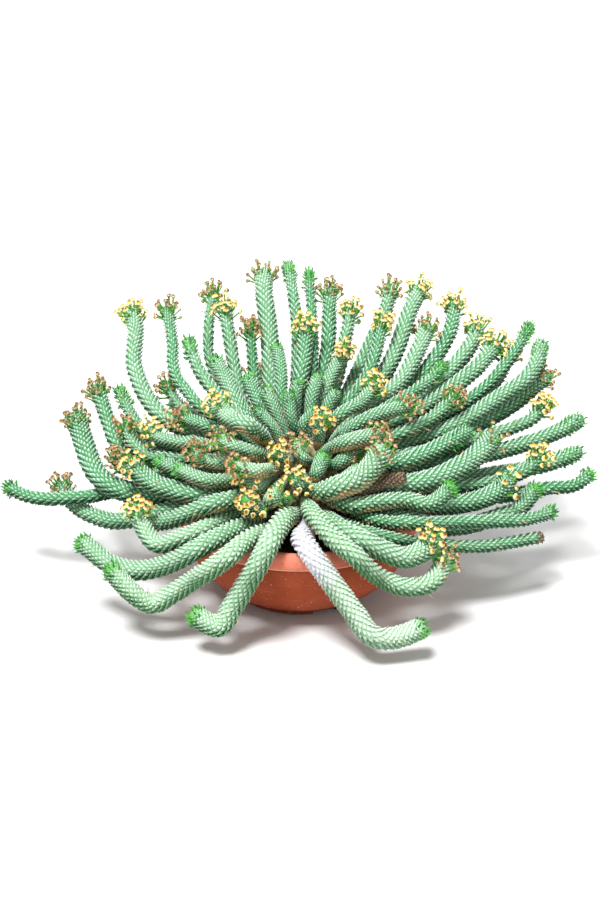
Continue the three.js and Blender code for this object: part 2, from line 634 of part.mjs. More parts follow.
function grown(arm, arms) {
  let body = armSkin(arm);
  if (hasFlowers(arm)) {
    for (const head of flowers(arm, arms)) {
      body = body.add(head);
    }
  }
  return largest(body);
}

// The young and the rear arms are one body with the stem; each long arm stands against it
for (const arm of youngArms) {
  arm.joined = 'young';
}
for (const arm of rearArms) {
  arm.joined = 'rear';
}
const arms = [...longArms, ...youngArms, ...rearArms];
settle(arms);
for (const arm of arms) {
  arm.curve = new THREE.CatmullRomCurve3(arm.chain);
  arm.length = arm.curve.getLength();
}

const plant = new THREE.Group();
plant.add(mesh('bowl', bowl(), 0xb4583a, 0.85));
plant.add(mesh('soil', soil(), 0x1d1a17, 0.95));

let stemBody = stem();
for (const arm of [...youngArms, ...rearArms]) {
  stemBody = stemBody.add(grown(arm, arms));
}
plant.add(mesh('stem', stemBody, 0x8a7a5c, 0.9));

const armColours = { leafy: 0x9fcaab, fresh: 0x9cc3a4, faded: 0x8db69b, plain: 0x86bf8e, cut: 0xa2a583 };
for (const arm of longArms) {
  plant.add(mesh(`arm_${arm.name}`, grown(arm, arms), armColours[arm.tip], 0.75));
}

export default plant;
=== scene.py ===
import math
import random

import bmesh
import bpy
import numpy as np
from mathutils import Matrix, Vector


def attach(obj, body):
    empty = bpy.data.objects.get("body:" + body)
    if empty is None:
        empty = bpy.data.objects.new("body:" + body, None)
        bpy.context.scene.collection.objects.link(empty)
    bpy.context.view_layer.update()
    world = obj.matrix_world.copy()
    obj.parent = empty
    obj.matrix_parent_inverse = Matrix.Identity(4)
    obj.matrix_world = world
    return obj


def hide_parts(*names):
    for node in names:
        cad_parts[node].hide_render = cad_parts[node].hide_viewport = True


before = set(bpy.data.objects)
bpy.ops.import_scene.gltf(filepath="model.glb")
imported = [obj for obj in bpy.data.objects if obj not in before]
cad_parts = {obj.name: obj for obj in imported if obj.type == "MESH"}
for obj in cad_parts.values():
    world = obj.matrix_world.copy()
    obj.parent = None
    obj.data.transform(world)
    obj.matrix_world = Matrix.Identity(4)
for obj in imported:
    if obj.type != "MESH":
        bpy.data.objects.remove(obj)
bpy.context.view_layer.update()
mm = 0.001

# Every arm: its tip, its width, where it leaves the stem as (bearing, height), and its route as
# (bearing, reach, height), in degrees and millimetres, as the CAD part has them
longArms = {
    "front_pale": ("leafy", 28, (-92, 118), [
        (-92, 120, 125), (-88, 155, 130), (-74, 185, 75), (-66, 215, 35), (-58, 220, 35), (-52, 235, 45)]),
    "front_left_low": ("leafy", 28, (-118, 124), [
        (-106, 160, 135), (-115, 180, 70), (-120, 205, 35), (-127, 215, 53)]),
    "front_left_elbow": ("leafy", 26, (-135, 122), [
        (-117, 185, 130), (-132, 200, 85), (-140, 225, 55), (-145, 250, 80), (-149, 260, 100)]),
    "front_left_long": ("leafy", 26, (-147, 118), [
        (-129, 175, 130), (-144, 210, 95), (-153, 245, 85), (-162, 280, 110)]),
    "front_left_bloom": ("fresh", 24, (-155, 134), [
        (-134, 160, 135), (-142, 200, 110), (-151, 205, 125), (-155, 205, 145)]),
    "front_right_bloom": ("fresh", 28, (-76, 120), [
        (-76, 100, 135), (-68, 150, 135), (-53, 165, 110), (-42, 175, 110), (-36, 175, 130)]),
    "front_right_leafy": ("faded", 25, (-86, 132), [
        (-82, 140, 140), (-71, 180, 130), (-56, 175, 90), (-48, 195, 80), (-39, 210, 90), (-34, 205, 110)]),
    "front_right_star": ("leafy", 22, (-66, 138), [
        (-56, 95, 140), (-32, 140, 130), (-27, 185, 125), (-23, 195, 145)]),
    "front_right_big": ("faded", 30, (-78, 152), [
        (-63, 75, 145), (-41, 95, 150), (-30, 110, 170), (-19, 110, 190)]),
    "front_right_stub": ("cut", 18, (-58, 126), [(-36, 90, 140), (-27, 120, 150), (-25, 145, 158)]),
    "left_low": ("leafy", 20, (187, 128), [
        (182, 145, 130), (177, 210, 120), (178, 270, 105), (176, 330, 100), (174, 370, 110)]),
    "left_second": ("faded", 24, (197, 124), [
        (200, 140, 130), (185, 220, 105), (177, 265, 105), (172, 295, 110), (169, 315, 125)]),
    "left_thick": ("faded", 29, (180, 142), [
        (203, 130, 140), (187, 185, 130), (180, 225, 130), (174, 250, 140), (168, 270, 160), (164, 290, 190)]),
    "left_dark": ("leafy", 24, (205, 132), [(226, 120, 140), (205, 145, 120), (194, 175, 110)]),
    "left_hooked": ("faded", 20, (192, 142), [
        (199, 125, 150), (189, 185, 140), (183, 210, 145), (180, 220, 160)]),
    "left_pale": ("fresh", 26, (200, 148), [(211, 130, 150), (193, 165, 145), (183, 195, 160)]),
    "left_upper": ("faded", 22, (172, 150), [
        (187, 120, 160), (177, 185, 160), (172, 220, 170), (162, 250, 190), (155, 280, 220)]),
    "left_plain": ("plain", 18, (165, 154), [
        (184, 135, 180), (169, 195, 185), (159, 235, 200), (154, 260, 215)]),
    "left_mid": ("faded", 19, (176, 162), [
        (189, 135, 175), (180, 180, 165), (173, 210, 175), (169, 220, 190)]),
    "left_tall": ("fresh", 24, (158, 158), [
        (184, 115, 195), (168, 165, 205), (160, 200, 220), (150, 240, 245), (140, 275, 270), (137, 300, 285)]),
    "back_left_far": ("faded", 18, (142, 162), [
        (175, 105, 220), (162, 140, 235), (152, 175, 250), (141, 205, 270), (132, 255, 295)]),
    "back_left_finger": ("faded", 17, (150, 164), [(172, 110, 210), (158, 160, 220), (151, 190, 235)]),
    "back_left_bent": ("plain", 19, (134, 168), [
        (165, 75, 205), (152, 115, 225), (145, 155, 250), (138, 190, 275)]),
    "back_left_bloom_a": ("faded", 17, (122, 168), [
        (136, 110, 210), (129, 175, 250), (123, 205, 285), (115, 255, 310)]),
    "back_left_bloom_b": ("fresh", 20, (118, 176), [
        (134, 90, 215), (126, 135, 240), (122, 170, 270), (119, 210, 300)]),
    "back_crest": ("faded", 26, (104, 164), [
        (108, 100, 225), (104, 160, 270), (103, 210, 310), (101, 255, 325)]),
    "back_thin": ("faded", 17, (110, 172), [(125, 90, 215), (118, 130, 245), (113, 165, 285)]),
    "back_tallest": ("plain", 18, (96, 168), [
        (90, 100, 225), (89, 150, 275), (91, 190, 310), (93, 255, 335)]),
    "back_tall": ("plain", 17, (88, 166), [(82, 110, 235), (85, 180, 290), (87, 250, 325)]),
    "back_bloom_a": ("faded", 22, (80, 166), [
        (76, 115, 235), (77, 155, 265), (80, 205, 300), (81, 230, 315)]),
    "back_bloom_b": ("fresh", 20, (74, 170), [(67, 110, 230), (69, 150, 265), (71, 200, 300)]),
    "back_mid_bloom": ("fresh", 22, (92, 178), [(90, 70, 230), (87, 110, 260), (87, 145, 290)]),
    "right_back_leafy": ("faded", 22, (62, 166), [
        (56, 110, 220), (58, 170, 260), (60, 230, 295), (62, 260, 315)]),
    "right_back_bloom_a": ("fresh", 19, (56, 174), [(46, 95, 210), (49, 140, 240), (57, 195, 280)]),
    "right_back_high": ("fresh", 24, (52, 164), [
        (45, 110, 210), (46, 175, 245), (50, 230, 285), (54, 280, 305)]),
    "right_back_brown": ("faded", 24, (46, 174), [
        (29, 95, 210), (35, 155, 225), (44, 220, 260), (47, 245, 270)]),
    "right_back_tall": ("fresh", 22, (42, 162), [
        (36, 125, 205), (38, 200, 240), (44, 265, 275), (49, 300, 295)]),
    "right_back_wide": ("fresh", 24, (36, 172), [
        (31, 150, 210), (35, 230, 235), (36, 280, 260), (40, 300, 270)]),
    "right_far_bloom_a": ("fresh", 24, (32, 160), [
        (9, 115, 200), (19, 185, 215), (27, 250, 240), (33, 290, 255)]),
    "right_far_tip": ("plain", 18, (26, 162), [
        (14, 165, 200), (22, 245, 220), (28, 300, 245), (33, 350, 270)]),
    "right_far_bloom_b": ("fresh", 20, (22, 156), [
        (17, 180, 190), (23, 245, 205), (27, 290, 230), (32, 320, 245)]),
    "right_far_crest": ("plain", 23, (18, 160), [
        (12, 175, 190), (20, 255, 210), (22, 310, 230), (28, 350, 255)]),
    "right_head": ("faded", 24, (14, 154), [
        (10, 160, 180), (19, 240, 190), (21, 295, 205), (23, 345, 230)]),
    "right_bloom": ("fresh", 20, (10, 160), [
        (4, 145, 180), (16, 245, 180), (18, 300, 190), (20, 325, 205)]),
    "right_green_bloom": ("plain", 18, (38, 182), [(12, 125, 210), (21, 185, 220), (25, 215, 235)]),
    "right_brown_mid": ("faded", 20, (28, 178), [(4, 115, 200), (17, 175, 205), (20, 200, 220)]),
    "right_crest_high": ("plain", 23, (4, 150), [
        (6, 160, 165), (13, 255, 160), (14, 325, 170), (15, 370, 185)]),
    "right_crest_low": ("plain", 22, (0, 142), [
        (0, 170, 150), (3, 245, 150), (6, 310, 150), (8, 355, 160)]),
    "right_low": ("leafy", 20, (-6, 132), [
        (-6, 170, 130), (-2, 245, 125), (0, 300, 130), (2, 345, 130), (4, 365, 140)]),
    "right_yellow_shaft": ("fresh", 20, (-2, 152), [
        (-7, 185, 140), (-1, 250, 140), (1, 280, 150), (4, 300, 165)]),
    "right_star": ("leafy", 23, (-22, 128), [
        (-35, 145, 130), (-19, 190, 115), (-9, 240, 115), (-3, 280, 120), (-1, 290, 140)]),
    "right_posy": ("fresh", 26, (-14, 142), [
        (-26, 135, 145), (-15, 190, 130), (-8, 230, 135), (-4, 245, 150)]),
    "right_big_posy": ("faded", 29, (-8, 156), [
        (-22, 130, 150), (-10, 170, 150), (0, 205, 165), (6, 230, 185)]),
    "right_short_yellow": ("plain", 23, (8, 168), [(-19, 110, 170), (-2, 160, 175), (4, 200, 185)]),
    "right_cut": ("cut", 18, (-36, 122), [(-52, 130, 132), (-30, 175, 108), (-18, 230, 92), (-8, 300, 88)]),
    "right_low_star": ("leafy", 19, (-28, 134), [
        (-40, 150, 135), (-19, 210, 125), (-8, 265, 115), (-2, 305, 115)]),
}

# Short young arms that stand round the crown, one growth with the stem
youngArms = {
    "front_star": ("leafy", 24, (-110, 142), [(-119, 65, 140), (-111, 60, 160)]),
    "front_posy": ("fresh", 20, (-124, 150), [(-113, 105, 140), (-109, 95, 150)]),
    "front_stub_bloom": ("fresh", 23, (-136, 148), [(-123, 115, 140), (-129, 110, 155)]),
    "left_stub_bloom": ("fresh", 22, (-158, 152), [(-142, 100, 150), (-153, 110, 160)]),
    "left_yellow": ("fresh", 19, (168, 170), [(196, 110, 195), (182, 155, 185), (175, 180, 190)]),
    "left_brown": ("faded", 18, (160, 168), [(194, 105, 200), (182, 140, 200), (182, 155, 200)]),
    "left_star_a": ("leafy", 19, (185, 162), [(205, 120, 165), (193, 150, 160), (188, 165, 165)]),
    "left_star_b": ("leafy", 19, (196, 160), [(211, 115, 160), (201, 140, 160), (195, 150, 165)]),
    "left_brown_low": ("faded", 20, (190, 168), [(209, 100, 170), (200, 125, 170), (196, 135, 180)]),
    "left_yellow_high": ("fresh", 23, (155, 178), [(216, 85, 205), (198, 105, 205), (187, 115, 215)]),
    "left_brown_a": ("faded", 20, (178, 178), [(219, 90, 190), (202, 105, 195)]),
    "left_brown_b": ("faded", 19, (200, 172), [(226, 95, 180), (212, 105, 180)]),
    "left_near": ("fresh", 22, (222, 160), [(230, 70, 160), (221, 75, 170)]),
    "back_left_dark": ("leafy", 22, (138, 178), [(159, 80, 215), (145, 115, 235), (138, 150, 255)]),
    "back_mid_leafy": ("leafy", 18, (100, 184), [(115, 50, 220), (104, 90, 250), (104, 120, 270)]),
    "back_mid_pale": ("fresh", 18, (70, 180), [(67, 65, 220), (66, 105, 250), (63, 125, 270)]),
    "crown_a": ("leafy", 20, (124, 184), [(134, 80, 210), (129, 115, 235)]),
    "crown_b": ("plain", 18, (112, 186), [(135, 50, 210), (130, 75, 230)]),
    "crown_c": ("plain", 17, (92, 186), [(114, 35, 215), (104, 55, 230)]),
    "crown_d": ("plain", 17, (78, 184), [(87, 45, 220), (85, 65, 240)]),
    "crown_e": ("leafy", 18, (66, 184), [(72, 55, 220), (72, 85, 240)]),
    "crown_f": ("plain", 18, (50, 184), [(57, 50, 215), (57, 75, 230)]),
    "crown_g": ("plain", 16, (150, 184), [(155, 55, 205), (151, 75, 215)]),
    "crown_h": ("leafy", 17, (30, 182), [(36, 25, 205), (41, 50, 210)]),
    "right_yellow_mid": ("fresh", 19, (48, 184), [(12, 55, 215), (25, 95, 220), (30, 115, 235)]),
    "mid_right_a": ("faded", 22, (-20, 166), [(-29, 60, 180), (-6, 80, 185)]),
    "mid_right_b": ("faded", 22, (-2, 176), [(-12, 85, 190), (1, 120, 200)]),
    "mid_right_c": ("faded", 20, (14, 180), [(-7, 90, 200), (5, 150, 200)]),
    "mid_right_d": ("fresh", 20, (20, 190), [(-56, 25, 200), (-16, 20, 215)]),
    "mid_right_e": ("faded", 20, (-45, 176), [(-84, 55, 180), (-78, 35, 190)]),
    "mid_right_f": ("fresh", 19, (-80, 164), [(-93, 75, 165), (-98, 60, 170)]),
    "mid_right_dark_a": ("leafy", 22, (-40, 164), [(-65, 65, 170), (-42, 55, 185)]),
    "mid_right_dark_b": ("leafy", 22, (-34, 150), [(-43, 75, 160), (-23, 85, 175)]),
}

# Arms that hang low behind, under the tall ones
rearArms = {
    "rear_a": ("leafy", 22, (22, 128), [(24, 110, 140), (27, 180, 142), (28, 245, 138), (26, 285, 150)]),
    "rear_b": ("plain", 20, (38, 122), [(40, 110, 132), (43, 175, 130), (45, 230, 118), (44, 265, 122)]),
    "rear_c": ("faded", 22, (54, 132), [(54, 105, 146), (57, 165, 156), (60, 225, 158), (60, 262, 172)]),
    "rear_d": ("leafy", 21, (66, 120), [(66, 110, 130), (68, 170, 130), (72, 220, 112), (76, 250, 104)]),
    "rear_e": ("plain", 22, (80, 134), [(80, 100, 152), (82, 160, 166), (84, 220, 172), (84, 255, 186)]),
    "rear_f": ("leafy", 22, (92, 120), [(92, 110, 130), (92, 165, 132), (91, 215, 116), (88, 245, 112)]),
    "rear_g": ("faded", 20, (104, 134), [
        (104, 100, 152), (104, 160, 164), (105, 215, 170), (104, 250, 184)]),
    "rear_h": ("leafy", 22, (118, 122), [
        (118, 110, 132), (117, 170, 132), (115, 225, 116), (118, 255, 110)]),
    "rear_i": ("plain", 21, (132, 134), [
        (132, 105, 148), (130, 165, 154), (129, 225, 152), (131, 262, 162)]),
    "rear_j": ("leafy", 22, (148, 122), [
        (147, 110, 132), (145, 175, 134), (143, 235, 124), (146, 270, 128)]),
}

# what the arms make room for while they settle, as in the CAD part
growth = {
    "stemRadius": 50, "stemShoulder": 142, "rootRadius": 6, "rootTaper": 60, "rootSink": 5,
    "bareCrown": 25, "soilHeight": 101, "soilRoom": 5, "mouthRadius": 140, "lipRadius": 145,
    "lipHeight": 108, "lipThickness": 11, "sideRoom": 1, "clusterRadius": 16, "clearance": 3.2,
    "chainStep": 10, "passes": 220, "pushShare": 0.4, "neighbourShare": 0.25, "stretchShare": 0.5,
}


def pointAt(bearing, reach, height):
    angle = math.radians(bearing)
    return reach * math.cos(angle), reach * math.sin(angle), height


def evenLine(stops, step):
    # points an even step apart on a smooth curve through the stops, and the curve's length
    stops = np.array(stops, float)
    knots = np.vstack([2 * stops[0] - stops[1], stops, 2 * stops[-1] - stops[-2]])

    def curveAt(t):
        i = np.minimum(t.astype(int), len(stops) - 2)
        w = (t - i)[:, None]
        here, there = knots[i + 1], knots[i + 2]
        leaving, arriving = (there - knots[i]) / 2, (knots[i + 3] - here) / 2
        return ((2 * w**3 - 3 * w**2 + 1) * here + (w**3 - 2 * w**2 + w) * leaving
                + (3 * w**2 - 2 * w**3) * there + (w**3 - w**2) * arriving)

    t = np.linspace(0, len(stops) - 1, 201)
    run = np.concatenate([[0], np.cumsum(np.linalg.norm(np.diff(curveAt(t), axis=0), axis=1))])
    even = np.linspace(0, run[-1], round(run[-1] / step) + 1)
    return curveAt(np.interp(even, run, t)), run[-1]


def swell(distance, width):
    # thin at the root, full a hand's breadth on
    t = np.clip(distance / growth["rootTaper"], 0, 1)
    return growth["rootRadius"] + (width / 2 - growth["rootRadius"]) * t * t * (3 - 2 * t)


def coreOf(points):
    # the nearest point of the stem's middle line
    core = np.zeros_like(points)
    core[..., 2] = np.minimum(points[..., 2], growth["stemShoulder"])
    return core


def scaledTo(vectors, lengths):
    return vectors * (lengths / np.maximum(np.linalg.norm(vectors, axis=-1), 1e-9))[..., None]


def keepClear(place, girth):
    # rooted in the stem and clear of it further on, above the soil, and round the bowl's lip
    rule = growth
    core = coreOf(place)
    out = place - core
    onward = np.arange(place.shape[1]) * rule["chainStep"] - rule["rootSink"]
    nearest = rule["stemRadius"] + np.minimum(onward, girth + rule["sideRoom"])
    nearest[:, 0] = rule["stemRadius"] - rule["rootSink"]
    highest = nearest[:, 0] * math.cos(math.radians(rule["bareCrown"]))
    out[:, 0, 2] = np.minimum(out[:, 0, 2], highest)
    inside = np.linalg.norm(out, axis=-1) < nearest
    inside[:, 0] = True
    place[inside] = (core + scaledTo(out, nearest))[inside]

    reach = np.hypot(place[..., 0], place[..., 1])
    lowest = rule["soilHeight"] + girth + rule["soilRoom"]
    low = (reach < rule["mouthRadius"]) & (place[..., 2] < lowest)
    place[..., 2][low] = lowest[low]

    fromLip = np.stack([reach - rule["lipRadius"], place[..., 2] - rule["lipHeight"]], axis=-1)
    clear = rule["lipThickness"] + girth + rule["sideRoom"]
    touching = (np.linalg.norm(fromLip, axis=-1) < clear) & (reach > 1)
    moved = scaledTo(fromLip, clear)
    grow = (rule["lipRadius"] + moved[..., 0]) / np.maximum(reach, 1)
    place[..., 0][touching] *= grow[touching]
    place[..., 1][touching] *= grow[touching]
    place[..., 2][touching] = (rule["lipHeight"] + moved[..., 1])[touching]


def nearPairs(points, girth, owner, room):
    # pairs of points on different arms that may come to touch within that much movement
    square = np.sum(points ** 2, axis=1)
    apart = square[:, None] + square[None] - 2 * points @ points.T
    limit = (girth[:, None] + girth[None] + growth["clearance"] + room) ** 2
    one, other = np.nonzero(apart < limit)
    keep = (one < other) & (owner[one] != owner[other])
    return one[keep], other[keep]


def pushesOn(points, girth, pairs):
    one, other = pairs
    away = points[one] - points[other]
    gap = np.linalg.norm(away, axis=1)
    need = girth[one] + girth[other] + growth["clearance"]
    close = gap < need
    away = away[close] * ((need - gap)[close] / (2 * np.maximum(gap[close], 1)))[:, None]
    push = np.zeros_like(points)
    np.add.at(push, one[close], away)
    np.subtract.at(push, other[close], away)
    return push


def settle(arms):
    # arms that would pass through each other are pushed apart, a little at a time
    rule = growth
    lines = []
    for tip, width, root, route in arms.values():
        start = np.array(pointAt(root[0], rule["stemRadius"], root[1]))
        core = coreOf(start)
        start = core + scaledTo(start - core, rule["stemRadius"] - rule["rootSink"])
        lines.append(evenLine([start] + [pointAt(*stop) for stop in route], rule["chainStep"])[0])
    most = max(len(line) for line in lines)
    home = np.array([np.vstack([line, np.repeat(line[-1:], most - len(line), axis=0)]) for line in lines])
    last = np.array([len(line) - 1 for line in lines])
    order = np.arange(len(lines))
    real = np.arange(most) <= last[:, None]
    girth = np.array([swell(np.arange(most) * rule["chainStep"], arm[1]) for arm in arms.values()])
    blooms = np.array([arm[0] in ("fresh", "faded") for arm in arms.values()])
    girth[order[blooms], last[blooms]] = np.maximum(girth[order, last], rule["clusterRadius"])[blooms]
    owner = np.repeat(order, last + 1)
    step = np.linalg.norm(home[:, 1] - home[:, 0], axis=1)

    place = home.copy()
    room, seen = 20, None
    for _ in range(rule["passes"]):
        points = place[real]
        if seen is None or np.linalg.norm(points - seen, axis=1).max() > room / 2:
            seen = points.copy()
            pairs = nearPairs(seen, girth[real], owner, room)
        drift = place - home
        drift[real] += rule["pushShare"] * pushesOn(points, girth[real], pairs)
        before = np.concatenate([drift[:, :1], drift[:, :-1]], axis=1)
        after = np.concatenate([drift[:, 1:], drift[:, -1:]], axis=1)
        after[order, last] = drift[order, last]
        share = rule["neighbourShare"]
        place = home + (1 - 2 * share) * drift + share * (before + after)
        for i in range(1, most):
            link = place[:, i] - place[:, i - 1]
            reach = np.linalg.norm(link, axis=1)
            stretch = rule["stretchShare"] * (reach - step) / np.maximum(reach, 1e-9) * real[:, i]
            place[:, i - 1] += link * stretch[:, None]
            place[:, i] -= link * stretch[:, None]
        keepClear(place, girth)
    settled = {}
    for (name, (tip, width, _, _)), line, end in zip(arms.items(), place, last):
        stops = np.vstack([line[:end - 1:3], line[end]])
        settled[name] = (tip, width, stops)
    return settled


armPaths = settle({**longArms, **youngArms, **rearArms})
print("settled", len(armPaths), "arms")


# small helpers

def editMode():
    bpy.ops.object.mode_set(mode="EDIT")


def objectMode():
    bpy.ops.object.mode_set(mode="OBJECT")


def deselectAll():
    if bpy.context.object and bpy.context.object.mode != "OBJECT":
        objectMode()
    bpy.ops.object.select_all(action="DESELECT")


def makeActive(piece):
    deselectAll()
    piece.select_set(True)
    bpy.context.view_layer.objects.active = piece


def startPiece(name):
    piece = bpy.context.object
    piece.name = name
    piece.data.name = name
    makeActive(piece)
    return piece


def pickFaces(piece, test):
    mesh = bmesh.from_edit_mesh(piece.data)
    for face in mesh.faces:
        face.select_set(False)
    for face in mesh.faces:
        if test(face.calc_center_median(), face.normal):
            face.select_set(True)
    bmesh.update_edit_mesh(piece.data)


def pickPoints(piece, test):
    bpy.ops.mesh.select_mode(type="VERT")
    mesh = bmesh.from_edit_mesh(piece.data)
    for face in mesh.faces:
        face.select_set(False)
    for edge in mesh.edges:
        edge.select_set(False)
    for point in mesh.verts:
        point.select_set(bool(test(point.co)))
    mesh.select_flush(True)
    bmesh.update_edit_mesh(piece.data)


def sortRound(piece, sides):
    # the points ring by ring: a random shift follows their order, and subdividing leaves them in any
    mesh = bmesh.from_edit_mesh(piece.data)
    step = 2 * math.pi / sides
    mesh.verts.sort(
        key=lambda p: round(p.co.z / mm * 10) * sides + round(math.atan2(p.co.y, p.co.x) / step) % sides)
    mesh.verts.index_update()
    bmesh.update_edit_mesh(piece.data)


def extrudeOn(height, grow):
    # the picked faces drawn out along Z and widened about the middle
    bpy.ops.mesh.extrude_region_move(TRANSFORM_OT_translate={"value": (0, 0, height)})
    bpy.ops.transform.resize(value=(grow, grow, 1), center_override=(0, 0, 0))


def bakePlace(piece):
    makeActive(piece)
    bpy.ops.object.transform_apply(location=True, rotation=True, scale=True)


def copyOf(piece, name):
    twin = piece.copy()
    twin.data = piece.data.copy()
    twin.name = name
    bpy.context.scene.collection.objects.link(twin)
    return twin


def joined(parts, name):
    deselectAll()
    for part in parts:
        part.select_set(True)
    bpy.context.view_layer.objects.active = parts[0]
    if len(parts) > 1:
        bpy.ops.object.join()
    whole = bpy.context.object
    whole.name = name
    whole.data.name = name
    return whole


def throwAway(piece):
    data = piece.data
    bpy.data.objects.remove(piece)
    if isinstance(data, bpy.types.Mesh):
        bpy.data.meshes.remove(data)
    elif isinstance(data, bpy.types.Curve):
        bpy.data.curves.remove(data)


# material helpers

def newMaterial(name, roughness, specular):
    material = bpy.data.materials.new(name)
    material.use_nodes = True
    shader = material.node_tree.nodes["Principled BSDF"]
    shader.inputs["Roughness"].default_value = roughness
    shader.inputs["Specular IOR Level"].default_value = specular
    return material, material.node_tree, shader


def noiseNode(tree, scale, detail=3.0, roughness=0.55, stretch=(1, 1, 1)):
    place = tree.nodes.new("ShaderNodeTexCoord")
    mapping = tree.nodes.new("ShaderNodeMapping")
    mapping.inputs["Scale"].default_value = stretch
    noise = tree.nodes.new("ShaderNodeTexNoise")
    noise.inputs["Scale"].default_value = scale
    noise.inputs["Detail"].default_value = detail
    noise.inputs["Roughness"].default_value = roughness
    tree.links.new(place.outputs["Object"], mapping.inputs["Vector"])
    tree.links.new(mapping.outputs["Vector"], noise.inputs["Vector"])
    return noise.outputs["Fac"]


def readValue(tree, name):
    node = tree.nodes.new("ShaderNodeAttribute")
    node.attribute_name = name
    return node.outputs["Fac"]


def rangeOf(tree, value, low, high, toLow=0.0, toHigh=1.0):
    node = tree.nodes.new("ShaderNodeMapRange")
    node.interpolation_type = "SMOOTHSTEP"
    node.inputs["From Min"].default_value = low
    node.inputs["From Max"].default_value = high
    node.inputs["To Min"].default_value = toLow
    node.inputs["To Max"].default_value = toHigh
    tree.links.new(value, node.inputs["Value"])
    return node.outputs["Result"]


def mathOf(tree, kind, one, other):
    node = tree.nodes.new("ShaderNodeMath")
    node.operation = kind
    for socket, value in zip(node.inputs, (one, other)):
        if isinstance(value, (int, float)):
            socket.default_value = value
        else:
            tree.links.new(value, socket)
    return node.outputs["Value"]


def mixOf(tree, share, one, other):
    node = tree.nodes.new("ShaderNodeMix")
    node.data_type = "RGBA"
    sockets = (node.inputs[0], node.inputs[6], node.inputs[7])
    for socket, value in zip(sockets, (share, one, other)):
        if isinstance(value, (int, float)):
            socket.default_value = value
        elif isinstance(value, tuple):
            socket.default_value = colourOf(value)
        else:
            tree.links.new(value, socket)
    return node.outputs[2]


def colourOf(shade):
    # from the 0 to 255 values of a picture to Blender's linear ones
    linear = [((c / 255 + 0.055) / 1.055) ** 2.4 if c > 10 else c / 255 / 12.92 for c in shade]
    return (*linear, 1.0)


def bumpFrom(tree, shader, height, strength, distance):
    bump = tree.nodes.new("ShaderNodeBump")
    bump.inputs["Strength"].default_value = strength
    bump.inputs["Distance"].default_value = distance
    tree.links.new(height, bump.inputs["Height"])
    tree.links.new(bump.outputs["Normal"], shader.inputs["Normal"])


# skin: waxy green scales with pale points, corky undersides near the crown, painted shade under the scales and
# below, and painted highlight on the tops that face up

skinReach = {"young": (6.0, 17.0), "brightMore": 25.0, "cork": (30.0, 160.0), "powder": (150.0, 215.0)}
# the darkest greens here are painted shade under the scale tips and on the undersides, and the palest greens
# of the tops are painted highlight
skinLook = {
    "roughness": 0.66, "specular": 0.22, "patchScale": 60.0, "fineScale": 420.0, "rustScale": 150.0,
    "paintedDeepShadow": (0, 36, 10), "valley": (26, 98, 52), "shade": (8, 80, 34), "flank": (80, 156, 100),
    "top": (222, 242, 228), "paleValleyPaintedShade": (108, 156, 108), "palePaintedShade": (92, 148, 94),
    "paleFlank": (194, 230, 192), "palePaintedHighlight": (240, 250, 238), "young": (86, 184, 44),
    "cork": (148, 110, 66), "corkPale": (216, 182, 134), "point": (255, 255, 250),
    "blush": (222, 168, 146), "powder": (234, 230, 240), "powderPaintedShade": (186, 182, 200),
    "dead": (58, 42, 36), "deadPale": (160, 136, 112),
}


